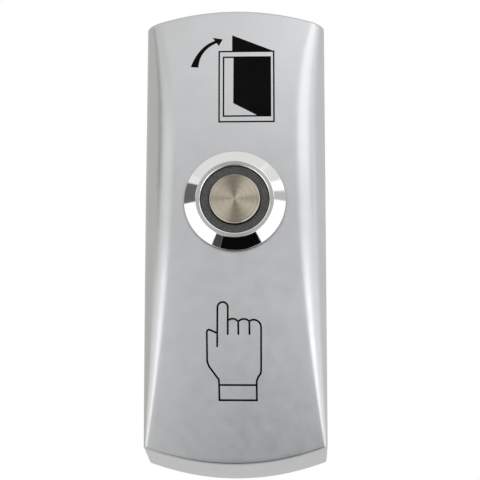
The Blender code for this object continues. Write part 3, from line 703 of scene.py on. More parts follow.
@dataclass(frozen=True)
class FrontCover:
    """The die-cast housing: skin, hollow, seat of the switch, screw bosses and ribs."""

    form: HousingForm
    seat: Pairs = ((9.3, 21.85), (8.65, 21.85), (8.65, 20.75), (8.3, 20.75))
    seat_radius: float = 9.3
    hole_radius: float = 8.3
    pad_radius: float = 11.57
    pad_face: float = 19.2
    pad_step: float = 0.6
    boss_place: float = BOSS_PLACE
    boss_radius: float = 3.2
    boss_foot: float = 1.5
    pilot_radius: float = 1.8
    pilot_depth: float = 10.5
    rib_width: float = 1.6
    foot_bevel: float = 0.15
    foot_share: float = 0.07
    patch_reach: float = 12.2
    patch_rows: int = 12
    rows: int = 132
    turns: int = 18
    across: int = 44
    edge_steps: int = 6

    def outer_sheet(self) -> np.ndarray:
        """Grid of the outside, with its end edges rounded by quarter circles."""
        angle = np.linspace(0.0, math.pi / 2, self.edge_steps + 1)
        radius = self.form.edge_round
        end_inset, inset = radius * (1 - np.cos(angle)), radius * (1 - np.sin(angle))
        middle = np.linspace(-1.0, 1.0, self.rows + 1)[1:-1]
        share = np.concatenate([-np.ones_like(angle), middle, np.ones_like(angle)])
        ends = np.concatenate([end_inset, np.full_like(middle, radius), end_inset[::-1]])
        skin = np.concatenate([inset, 0 * middle, inset[::-1]])
        return self.form.sections(share, ends, skin, self.turns, self.across)

    def inner_sheet(self, rows: int) -> np.ndarray:
        """Grid of the inside, a wall's thickness in, with as many rows as the outside."""
        share = np.linspace(-1.0, 1.0, rows)
        wall = np.full_like(share, self.form.wall)
        return self.form.sections(share, wall, wall, self.turns, self.across)

    @staticmethod
    def rim(grid: np.ndarray) -> np.ndarray:
        """Points round the edge of a grid, in order."""
        return np.concatenate([grid[0, :-1], grid[:-1, -1], grid[-1, :0:-1], grid[:0:-1, 0]])

    def sheet(self, grid: np.ndarray, window: tuple[slice, slice]) -> Shell:
        """A grid as a shell that leaves out the faces of a window."""
        rows, columns = grid.shape[:2]
        quads = grid_quads(rows, columns).reshape(rows - 1, columns - 1, 4)
        keep = np.ones((rows - 1, columns - 1), bool)
        keep[window[0].start:window[0].stop - 1, window[1].start:window[1].stop - 1] = False
        return Shell(grid.reshape(-1, 3), quads[keep])

    def patch(self, edge: np.ndarray, radius: float, angle: np.ndarray, inset: float
              ) -> tuple[Shell, np.ndarray]:
        """Face between a window's edge and the switch's round hole.

        Points run in straight lines from the edge to the circle, and each takes the height of
        the panel there.

        Args:
            edge: Points round the window.
            radius: Radius of the hole.
            angle: Where on the circle each line ends.
            inset: How far the face lies under the outer panel.

        Returns:
            The shell, and its last ring of points.
        """
        circle = np.stack([radius * np.cos(angle), self.form.ridge + radius * np.sin(angle)], -1)
        t = np.linspace(0.0, 1.0, self.patch_rows)[:, None, None]
        plan = (1 - t) * edge[None][..., [0, 2]] + t * circle[None]
        height = self.form.face(plan[..., 0], plan[..., 1]) - inset
        grid = np.stack([plan[..., 0], height, plan[..., 1]], axis=-1)
        grid[0] = edge
        return grid_shell(grid, False, True), grid[-1]

    def skin(self) -> Shell:
        """The one closed surface of outside, seat, hollow and foot."""
        outer = self.outer_sheet()
        inner = self.inner_sheet(len(outer))
        middle = outer.shape[1] // 2
        line = outer[:, middle, 2]
        low = int(np.searchsorted(line, self.form.ridge - self.patch_reach))
        high = int(np.searchsorted(line, self.form.ridge + self.patch_reach))
        window = (slice(low, high + 1), slice(self.turns, self.turns + self.across + 1))
        edges = [self.rim(grid[window]) for grid in (outer, inner)]
        angle = np.arctan2(edges[0][:, 2] - self.form.ridge, edges[0][:, 0])
        outer_patch, top = self.patch(edges[0], self.seat_radius, angle, 0.0)
        inner_patch, bottom = self.patch(edges[1], self.hole_radius, angle, self.form.wall)
        steps = [top]
        for radius, height in self.seat:
            steps.append(np.stack([radius * np.cos(angle), np.full_like(angle, height),
                                   self.form.ridge + radius * np.sin(angle)], axis=-1))
        seat = grid_shell(np.stack([*steps, bottom]), False, True)
        outside, inside = self.rim(outer), self.rim(inner)
        flat = np.array([1.0, 0.0, 1.0])
        lift = np.array([0.0, self.foot_bevel, 0.0])
        across = self.foot_share * (inside - outside)
        foot = [outside, outside * flat + lift, (outside + across) * flat,
                (inside - across) * flat, inside * flat + lift, inside]
        walls = grid_shell(np.stack(foot), False, True)
        return joined([self.sheet(outer, window), outer_patch, seat, inner_patch,
                       self.sheet(inner, window), walls])

    def fittings(self) -> list[Shell]:
        """Pad behind the switch, bosses with pilot holes, and ribs to the end walls."""
        under = float(self.form.face(np.array(0.0), np.array(self.form.ridge))) - self.form.wall
        pad = np.array([(self.hole_radius, self.pad_face), (self.pad_radius, self.pad_face),
                        (self.pad_radius, under + self.pad_step),
                        (self.hole_radius + 0.2, under + self.pad_step),
                        (self.hole_radius, under - 0.05)])
        shells = [turned(softened(pad, 0.12, True), self.form.ridge)]
        for sign in (1, -1):
            place = sign * self.boss_place
            top = float(self.form.arch(np.array(place))) - self.form.wall / 2
            boss = np.array([(0.0, self.pilot_depth), (self.pilot_radius, self.pilot_depth),
                             (self.pilot_radius, self.boss_foot),
                             (self.boss_radius, self.boss_foot),
                             (self.boss_radius, top), (0.0, top)])
            shells.append(turned(softened(boss, 0.2, False), place, 64, False))
            reach = self.form.half_length - self.form.wall / 2 - self.boss_place
            foot = self.boss_foot + self.form.wall
            rib_top = self.form.end_height - self.form.wall / 2
            length = reach - self.boss_radius / 2
            shells.append(bar((self.rib_width, rib_top - foot, length),
                              (0.0, (foot + rib_top) / 2,
                               place + sign * (self.boss_radius / 2 + length / 2)), 0.25))
        return shells

    def build(self, finish: bpy.types.Material, inside: bpy.types.Material) -> None:
        """Make the piece that stands for the CAD housing, with a raw casting's finish inside.

        A face is inside where its middle lies deeper than the plated skin from the front, the
        sides and the ends.
        """
        shell = joined([self.skin(), *self.fittings()])
        cover = built("housing_shell", shell, finish, Body.HOUSING, ("front_cover",),
                      True)
        cover.data.materials.append(inside)
        middle = np.empty(len(cover.data.polygons) * 3, np.float32)
        cover.data.polygons.foreach_get("center", middle)
        x, height, z = (middle.reshape(-1, 3) / (MM, -MM, MM)).T
        depth = self.form.wall - 0.3
        within = ((np.abs(x) < self.form.half_width - depth)
                  & (np.abs(z) < self.form.reach(x) - depth)
                  & (height < self.form.face(x, z) - depth) & (height > 0.5))
        cover.data.polygons.foreach_set("material_index", within.astype(np.int32))


# ---------------------------------------------------------------------------------------------
# Printed signs
# ---------------------------------------------------------------------------------------------


@dataclass(frozen=True)
class Print:
    """Thin ink on the panel: strokes and filled shapes that follow the front."""

    form: HousingForm
    place: tuple[float, float]
    stroke: float = 0.26
    thickness: float = 0.02
    sink: float = 0.03

    def laid(self, plan: np.ndarray, closed: bool = False) -> Shell:
        """A slab of ink over a grid of (x, z) points.

        The upper sheet lies a thickness over the panel, the lower one is sunk into it, and
        walls close the edge.

        Args:
            plan: Grid of points as (rows, columns, 2), counted from the sign's place.
            closed: Whether the last column meets the first.

        Returns:
            The closed shell.
        """
        plan = plan + np.array(self.place)
        height = self.form.face(plan[..., 0], plan[..., 1])
        upper = np.stack([plan[..., 0], height + self.thickness, plan[..., 1]], axis=-1)
        lower = np.stack([plan[..., 0], height - self.sink, plan[..., 1]], axis=-1)
        if closed:
            walls = [np.stack([lower[0], upper[0]]), np.stack([upper[-1], lower[-1]])]
        else:
            walls = [np.stack([FrontCover.rim(upper), FrontCover.rim(lower)])]
        return joined([grid_shell(upper, False, closed), grid_shell(lower[::-1], False, closed),
                       *(grid_shell(wall, False, True) for wall in walls)])

    def line(self, path: np.ndarray, closed: bool = False) -> Shell:
        """A stroke of even width along a path, its corners mitred.

        Both sides are the path moved by half the width along its normal, divided by the cosine
        of half the turn.

        Args:
            path: (n, 2) points.
            closed: Whether it meets its start.

        Returns:
            The stroke's shell.
        """
        points = np.vstack([path[-1:], path, path[:1]]) if closed else np.vstack(
            [2 * path[:1] - path[1:2], path, 2 * path[-1:] - path[-2:-1]])
        sides = np.diff(points, axis=0)
        sides /= np.linalg.norm(sides, axis=1, keepdims=True)
        normals = np.stack([-sides[:, 1], sides[:, 0]], axis=-1)
        mean = normals[:-1] + normals[1:]
        mean /= np.linalg.norm(mean, axis=1, keepdims=True)
        mitre = mean / np.maximum((mean * normals[1:]).sum(axis=1, keepdims=True), 0.4)
        offset = mitre * self.stroke / 2
        return self.laid(np.stack([path - offset, path, path + offset]), closed)

    def outline(self, corners: Pairs) -> Shell:
        """A closed stroke round a shape with straight sides."""
        return self.line(fine([*corners, corners[0]])[:-1], True)

    def fill(self, first: np.ndarray, second: np.ndarray, steps: int = 20) -> Shell:
        """A filled shape ruled between two curves with equally many points."""
        t = np.linspace(0.0, 1.0, steps)[:, None, None]
        return self.laid((1 - t) * first[None] + t * second[None])


def arc(centre: tuple[float, float], radii: tuple[float, float], start: float, end: float,
        steps: int = 16) -> np.ndarray:
    """Points on a piece of an ellipse: centre + (a cos t, b sin t), with t in degrees."""
    t = np.radians(np.linspace(start, end, steps))
    return np.stack([centre[0] + radii[0] * np.cos(t), centre[1] + radii[1] * np.sin(t)], axis=-1)


def bow(start: tuple[float, float], bend: tuple[float, float], end: tuple[float, float],
        steps: int = 24) -> np.ndarray:
    """Points on the parabola (1-t)^2 start + 2t(1-t) bend + t^2 end."""
    t = np.linspace(0.0, 1.0, steps)[:, None]
    return (1 - t) ** 2 * start + 2 * t * (1 - t) * bend + t ** 2 * end


def fine(corners: list[tuple[float, float]], spacing: float = 0.5) -> np.ndarray:
    """A polyline with extra points, about a spacing apart, so that it can follow a curved face."""
    points = np.array(corners, float)
    lengths = np.concatenate([[0.0], np.cumsum(np.linalg.norm(np.diff(points, axis=0), axis=1))])
    extra = np.arange(0.0, lengths[-1], spacing)
    places = np.unique(np.concatenate([lengths, extra]).round(4))
    return np.stack([np.interp(places, lengths, points[:, k]) for k in range(2)], axis=-1)


@dataclass(frozen=True)
class DoorSign:
    """Open door with its frame, and an arrow that swings towards it."""

    ink: Print
    frames: tuple[Pairs, ...] = (
        ((-2.77, 33.07), (7.03, 33.1), (7.07, 19.28), (-2.70, 19.26)),
        ((-1.98, 31.92), (6.40, 31.94), (6.44, 20.38), (-1.92, 20.34)))
    leaf_top: float = 31.98
    leaf_foot: Pairs = ((-0.2, 22.83), (4.2, 20.42), (6.5, 20.36))
    swing_foot: float = 33.1
    swing_top: Pairs = ((-0.46, 36.38), (6.9, 33.2))
    shaft: tuple[Pairs, Pairs] = (((-7.87, 30.0), (-6.55, 34.1), (-3.53, 35.31)),
                                  ((-6.5, 29.93), (-6.3, 33.4), (-3.23, 34.84)))
    barb: Pairs = ((-3.98, 35.9), (-3.55, 35.3), (-3.25, 34.83), (-2.85, 34.22))
    tip: tuple[float, float] = (-2.19, 35.57)

    def leaf(self) -> Shell:
        """The open leaf: a level top and a foot that falls away from the hinge."""
        start, knee, end = (x for x, _ in self.leaf_foot)
        across = np.concatenate([np.linspace(start, knee, 12), np.linspace(knee + 0.2, end, 6)])
        foot = np.stack([across, np.interp(across, *np.array(self.leaf_foot).T)], axis=-1)
        return self.ink.fill(level_line(across, self.leaf_top), foot, 30)

    def swing(self) -> Shell:
        """The leaf's upper edge as it stands out over the frame."""
        (start, _), (end, _) = self.swing_top
        across = np.linspace(start, end, 16)
        top = np.stack([across, np.interp(across, *np.array(self.swing_top).T)], axis=-1)
        return self.ink.fill(top, level_line(across, self.swing_foot), 10)

    def arrow(self) -> list[Shell]:
        """The arrow: a curved shaft, and a head that runs from its barb to a point."""
        left, right = (bow(*side) for side in self.shaft)
        barb = np.array(self.barb)
        tip = np.array([self.tip]) + 0.02 * (barb - barb.mean(axis=0))
        return [self.ink.fill(left, right, 6), self.ink.fill(barb, tip, 8)]

    def build(self, finish: bpy.types.Material) -> None:
        """Draw the frame's two outlines, the open leaf, its upper edge and the arrow."""
        shells = [self.ink.outline(corners) for corners in self.frames]
        shells += [self.leaf(), self.swing(), *self.arrow()]
        built("door_sign", joined(shells), finish, Body.HOUSING, (), True)


@dataclass(frozen=True)
class HandSign:
    """Outline of a pointing hand with a cuff."""

    ink: Print
    cuff: Pairs = ((-2.73, -27.85), (3.8, -27.9), (3.83, -30.5), (-2.68, -30.45))
    folds: tuple[Pairs, ...] = (((0.62, -16.9), (0.65, -19.2)), ((2.56, -16.9), (2.59, -19.2)))

    def build(self, finish: bpy.types.Material) -> None:
        """Draw finger, knuckles, back of the hand, thumb and cuff."""
        finger = np.vstack([fine([(-3.06, -21.3), (-3.0, -14.48)]),
                            arc((-2.09, -14.4), (0.91, 0.93), 176, 4),
                            fine([(-1.19, -14.48), (-1.21, -19.2)])])
        first = arc((-0.38, -17.6), (1.2, 1.2), 128, 38, 10)
        second = arc((1.6, -17.65), (1.22, 1.2), 142, 38, 10)
        third = np.vstack([arc((3.3, -17.95), (1.31, 1.36), 128, 0, 18),
                           fine([(4.61, -18.2), (4.59, -25.0)]),
                           arc((4.05, -25.1), (0.54, 1.4), 0, -40, 6),
                           fine([(4.1, -26.45), (3.84, -27.1), (3.8, -27.85)], 0.3)])
        thumb = np.vstack([fine([(-3.06, -18.88), (-4.4, -18.3)]),
                           arc((-4.5, -18.66), (0.36, 0.36), 76, 172, 8),
                           fine([(-4.86, -18.9), (-4.81, -22.9)]),
                           arc((-3.4, -23.3), (1.41, 2.0), 176, 215, 8),
                           fine([(-4.4, -24.75), (-2.92, -26.75)]),
                           arc((-3.1, -27.1), (0.34, 0.5), 40, 0, 5),
                           fine([(-2.75, -27.3), (-2.73, -27.85)])])
        folds = [fine(list(fold)) for fold in self.folds]
        shells = [self.ink.line(path) for path in (finger, first, second, third, thumb, *folds)]
        shells.append(self.ink.outline(self.cuff))
        built("hand_sign", joined(shells), finish, Body.HOUSING, (), True)


# ---------------------------------------------------------------------------------------------
# Push switch
# ---------------------------------------------------------------------------------------------


@dataclass(frozen=True)
class SwitchBody:
    """The fixed pieces of the push switch: bezel, guide ring, seals, washer, nut and block."""

    axis: float = SWITCH_AXIS
    bezel: Pairs = (
        (6.1, 23.7), (6.9, 23.7), (9.0, 22.5), (9.0, 22.15), (7.4, 22.15), (7.4, 20.45),
        (8.0, 19.85), (8.0, 12.4), (7.6, 12.0), (6.4, 12.0), (6.4, 14.3), (2.2, 14.3),
        (2.2, 14.9), (3.3, 14.9), (3.3, 15.7), (5.5, 15.7), (5.5, 20.8), (6.1, 20.8))
    rounding: float = 0.07
    lip_rounding: float = 0.18
    barrel_radius: float = 8.0
    thread_pitch: float = 1.0
    thread_depth: float = 0.5
    thread_low: float = 12.5
    thread_high: float = 19.8
    washer_low: float = 18.4
    washer_high: float = 18.9
    washer_radius: float = 10.4
    washer_tooth: float = 0.7
    tooth_twist: float = 0.12
    teeth: int = 18
    nut_low: float = 15.9
    nut_high: float = 18.1
    nut_flats: float = 19.0
    nut_chamfer: float = 0.5
    hole: float = 8.3
    hole_chamfer: float = 0.2
    guide_ring: tuple[float, float, float, float] = (4.58, 6.04, 21.1, 23.3)
    flange_seal: tuple[float, float, float, float] = (7.7, 8.35, 21.05, 21.85)
    plunger_seal: tuple[float, float, float, float] = (2.2, 3.0, 15.2, 15.7)
    block: Pairs = (
        (5.0, 14.0), (6.1, 14.0), (6.1, 11.7), (7.0, 11.7), (7.0, 6.5),
        (5.9, 6.5), (5.9, 11.0), (2.2, 11.0), (2.2, 11.7), (5.0, 11.7))
    spring_low: float = 16.0
    spring_high: float = 19.5
    spring_radius: float = 4.95
    spring_turns: float = 3.5
    spring_ease: float = 0.35
    wire_radius: float = 0.25

    def make_bezel(self, finish: bpy.types.Material) -> None:
        """Turned bezel: the profile is rounded, and a helical groove is cut in the barrel.

        The groove's depth at an angle and height is a triangle wave of height / pitch less the
        angle as a share of a turn.
        """
        corners = np.array(self.bezel)
        rounding = np.full((len(corners), 1), self.rounding)
        rounding[0] = self.lip_rounding
        profile = softened(corners, rounding, True, 5)
        top = np.flatnonzero((profile[:, 0] > self.barrel_radius - 0.01)
                             & (profile[:, 1] > self.thread_low)
                             & (profile[:, 1] < self.thread_high))[0]
        barrel = np.linspace(self.thread_high - 0.02, self.thread_low, 88)
        side = np.stack([np.full_like(barrel, self.barrel_radius), barrel], axis=-1)
        profile = np.vstack([profile[:top + 1], side, profile[top + 1:]])
        angle = np.linspace(0.0, 2 * math.pi, 192, endpoint=False)[None, :]
        radius, height = profile[:, :1] + 0 * angle, profile[:, 1:] + 0 * angle
        wave = np.abs(2 * np.mod(height / self.thread_pitch - angle / (2 * math.pi), 1.0) - 1)
        fade = np.clip((self.thread_high - height) / 0.6, 0, 1) * np.clip(
            (height - self.thread_low) / 0.4, 0, 1)
        on_barrel = (radius > self.barrel_radius - 0.05) & (height < self.thread_high)
        radius = np.where(on_barrel, radius - self.thread_depth * wave * fade, radius)
        grid = np.stack([radius * np.cos(angle), height, self.axis + radius * np.sin(angle)], -1)
        bezel = built("bezel", grid_shell(grid, True, True).outward(), finish, Body.HOUSING,
                      ("switch_bezel",))
        map_rings(bezel, self.axis)

    def make_ring(self, name: str, node: str, size: tuple[float, float, float, float],
                  rounding: float, finish: bpy.types.Material) -> None:
        """A plain ring with rounded edges, from its inner and outer radius, low and high."""
        inner, outer, low, high = size
        profile = np.array([(inner, high), (outer, high), (outer, low), (inner, low)])
        shell = turned(softened(profile, rounding, True), self.axis, 160)
        built(name, shell, finish, Body.HOUSING, (node,))

    def make_washer(self, finish: bpy.types.Material) -> None:
        """Toothed washer: its outer radius is a rounded square wave, and each tooth is twisted."""
        angle = np.linspace(0.0, 2 * math.pi, self.teeth * 20, endpoint=False)
        beat = np.clip(3 * np.sin(self.teeth * angle), -1, 1)
        outer = self.washer_radius - self.washer_tooth * (1 - beat) / 2
        twist = self.tooth_twist * np.cos(self.teeth * angle) * (beat > -0.9)
        low, high = self.washer_low + self.tooth_twist, self.washer_high - self.tooth_twist
        hole = np.full_like(angle, self.hole)
        root = np.full_like(angle, self.washer_radius - self.washer_tooth - 0.1)
        rings = [(hole, high, 0.0), (root, high, 0.0), (outer, high, 1.0),
                 (outer, low, 1.0), (root, low, 0.0), (hole, low, 0.0)]
        grid = np.stack([np.stack([radius * np.cos(angle), height + share * twist,
                                   self.axis + radius * np.sin(angle)], axis=-1)
                         for radius, height, share in rings])
        built("toothed_washer", grid_shell(grid, True, True).outward(), finish, Body.HOUSING,
              ("lock_washer",))

    def make_nut(self, finish: bpy.types.Material) -> None:
        """Hexagon nut: radius = flat / cos(angle from the flat), both faces trimmed by a cone."""
        angle = np.linspace(0.0, 2 * math.pi, 240, endpoint=False)
        from_flat = np.mod(angle, math.pi / 3) - math.pi / 6
        corner = self.nut_flats / math.sqrt(3)
        outer = np.minimum(self.nut_flats / 2 / np.cos(from_flat), corner - 0.08)
        start = self.nut_flats / 2 - 0.15
        slope = self.nut_chamfer / (corner - start)
        fall = slope * (outer - start)
        hole, flat = np.full_like(angle, self.hole), np.full_like(angle, start)
        low, high = 0 * angle + self.nut_low, 0 * angle + self.nut_high
        chamfer = self.hole_chamfer
        rings = [(hole, low + chamfer), (hole + chamfer, low), (flat, low), (outer, low + fall),
                 (outer, high - fall), (flat, high), (hole + chamfer, high),
                 (hole, high - chamfer)]
        grid = np.stack([np.stack([radius * np.sin(angle), height,
                                   self.axis + radius * np.cos(angle)], axis=-1)
                         for radius, height in rings])
        built("hexagon_nut", grid_shell(grid, True, True).outward(), finish, Body.HOUSING,
              ("fixing_nut",))

    def make_block(self, finish: bpy.types.Material) -> None:
        """Contact chamber, turned from its rounded profile."""
        shell = turned(softened(np.array(self.block), 0.12, True), self.axis, 128)
        built("contact_chamber", shell, finish, Body.HOUSING, ("contact_block",))

    def make_spring(self, finish: bpy.types.Material) -> None:
        """Return spring: a helix round the plunger whose end turns are flattened.

        Its rise is a mean of a cosine's, which starts and ends level, and of a straight one.
        """
        t = np.linspace(0.0, 1.0, 260)
        angle = 2 * math.pi * self.spring_turns * t
        low, high = self.spring_low + self.wire_radius, self.spring_high - self.wire_radius
        rise = 0.5 - 0.5 * np.cos(math.pi * t)
        rise = low + (high - low) * (self.spring_ease * rise + (1 - self.spring_ease) * t)
        path = np.stack([self.spring_radius * np.cos(angle), rise,
                         self.spring_radius * np.sin(angle)], axis=-1)
        shell = tube(path, self.wire_radius)
        shell = Shell(shell.points + np.array([0.0, 0.0, self.axis]), shell.quads)
        spring = built("coil_spring", shell, finish, Body.HOUSING, ("return_spring",))
        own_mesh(spring)

    def build(self, finishes: dict[str, bpy.types.Material]) -> None:
        """Make all fixed pieces of the switch."""
        self.make_bezel(finishes["bezel"])
        self.make_ring("guide_ring_shell", "guide_ring", self.guide_ring, 0.1,
                       finishes["ring"])
        self.make_ring("flange_seal_ring", "flange_seal", self.flange_seal, 0.2,
                       finishes["rubber"])
        self.make_ring("plunger_seal_ring", "plunger_seal", self.plunger_seal, 0.15,
                       finishes["rubber"])
        self.make_washer(finishes["spring"])
        self.make_nut(finishes["zinc"])
        self.make_block(finishes["nylon"])
        self.make_spring(finishes["spring"])


@dataclass(frozen=True)
class PushButton:
    """The moving pieces: brushed cap, plunger, clip and contact disc."""

    axis: float = SWITCH_AXIS
    cap: Pairs = (
        (0.0, 24.0), (4.3, 24.0), (4.45, 23.85), (4.45, 20.8), (5.2, 20.8), (5.2, 19.8),
        (2.2, 19.8), (2.2, 22.4), (0.0, 22.4))
    plunger: Pairs = (
        (0.0, 22.1), (1.9, 22.1), (1.9, 14.3), (1.4, 14.3), (1.4, 13.3), (1.9, 13.3),
        (1.9, 10.3), (0.8, 10.3), (0.8, 9.4), (1.3, 9.4), (1.3, 9.0), (0.0, 9.0))
    disc: Pairs = ((1.1, 10.0), (4.5, 10.0), (4.5, 9.7), (1.1, 9.7))
    clip: Pairs = ((1.7, 14.0), (3.2, 14.0), (3.2, 13.6), (1.7, 13.6))
    clip_gap: float = 0.6

    def make_cap(self, finish: bpy.types.Material) -> None:
        """Cap, turned from its profile, its flat top in narrow rings."""
        profile = softened(np.array(self.cap), 0.05, False)
        top = level_line(np.linspace(0.0, 4.2, 15)[1:-1], self.cap[0][1])
        profile = np.vstack([profile[:1], top, profile[1:]])
        shell = turned(profile, self.axis, 160, False)
        cap = built("brushed_cap", shell, finish, Body.BUTTON, ("push_cap",))
        map_rings(cap, self.axis)

    def make_plunger(self, finish: bpy.types.Material) -> None:
        """Plunger rod, turned from its rounded profile."""
        shell = turned(softened(np.array(self.plunger), 0.1, False), self.axis, 64, False)
        built("plunger_rod", shell, finish, Body.BUTTON, ("plunger",))

    def make_disc(self, finish: bpy.types.Material) -> None:
        """Bridging contact: a thin ring with rounded edges."""
        shell = turned(softened(np.array(self.disc), 0.08, True), self.axis, 96)
        built("contact_plate", shell, finish, Body.BUTTON, ("contact_disc",))

    def make_clip(self, finish: bpy.types.Material) -> None:
        """Open clip: a rounded section swept round the plunger, with a gap at one side."""
        section = softened(np.array(self.clip), 0.08, True)
        angle = np.linspace(self.clip_gap, 2 * math.pi - self.clip_gap, 72)
        centre = section.mean(axis=0)
        size = np.ones_like(angle)
        size[[0, -1]] = 0.0
        angle[0], angle[-1] = angle[1], angle[-2]
        section = centre + size[:, None, None] * (section - centre)[None]
        radius, height = section[..., 0], section[..., 1]
        grid = np.stack([radius * np.cos(angle)[:, None], height,
                         self.axis + radius * np.sin(angle)[:, None]], axis=-1)
        built("open_clip", grid_shell(grid, False, True).outward(), finish, Body.BUTTON,
              ("retaining_clip",))

    def build(self, finishes: dict[str, bpy.types.Material]) -> None:
        """Make all moving pieces."""
        self.make_cap(finishes["cap"])
        self.make_plunger(finishes["acetal"])
        self.make_disc(finishes["brass"])
        self.make_clip(finishes["spring"])


# ---------------------------------------------------------------------------------------------
# Back
# ---------------------------------------------------------------------------------------------


@dataclass(frozen=True)
class PlateScrew:
    """Countersunk screw with a cross recess and a cut thread."""

    head_height: float = 0.15
    head_edge: Pairs = ((2.56, 0.17), (2.6, 0.24))
    neck: float = 1.27
    shank_radius: float = 1.5
    shank_low: float = 1.3
    shank_high: float = 8.4
    tail: Pairs = ((1.4, 8.6), (1.0, 9.0), (0.0, 9.0))
    arm_reach: float = 1.4
    arm_half_width: float = 0.35
    recess_depth: float = 0.8
    thread_pitch: float = 0.5
    thread_depth: float = 0.25
    thread_low: float = 1.6

    def arm(self, along: np.ndarray, across: np.ndarray) -> np.ndarray:
        """Depth of one arm of the cross recess, from 0 to 1, its walls slightly sloped."""
        return (np.clip((self.arm_reach - np.abs(along)) / 0.12, 0, 1)
                * np.clip((self.arm_half_width - np.abs(across)) / 0.08, 0, 1))

    def shell(self, place: float) -> Shell:
        """The screw with its head in the back plane.

        The head's depth at (x, z) is lowered where either arm of the cross covers the point, and
        the shank's radius carries a helical groove.

        Args:
            place: Height of its axis along Z.

        Returns:
            The closed shell.
        """
        angle = np.linspace(0.0, 2 * math.pi, 144, endpoint=False)[None, :]
        face = np.concatenate([np.linspace(0.0, 1.7, 30), np.linspace(1.75, 2.5, 4)])
        shank = np.linspace(self.shank_low, self.shank_high, 110)
        profile = np.vstack([level_line(face, self.head_height), self.head_edge,
                             (self.shank_radius, self.neck),
                             level_line(shank, self.shank_radius)[:, ::-1], self.tail])
        rest, level = profile[:, :1], profile[:, 1:]
        radius, height = rest + 0 * angle, level + 0 * angle
        x, z = radius * np.cos(angle), radius * np.sin(angle)
        cross = np.maximum(self.arm(x, z), self.arm(z, x)) * (height < 0.2)
        height = height + self.recess_depth * cross
        wave = np.abs(2 * np.mod(height / self.thread_pitch - angle / (2 * math.pi), 1.0) - 1)
        on_shank = (np.abs(rest - self.shank_radius) < 0.05) & (level > self.thread_low)
        radius = radius - self.thread_depth * wave * on_shank
        grid = np.stack([radius * np.cos(angle), height, place + radius * np.sin(angle)], axis=-1)
        return grid_shell(grid, False, True).outward()


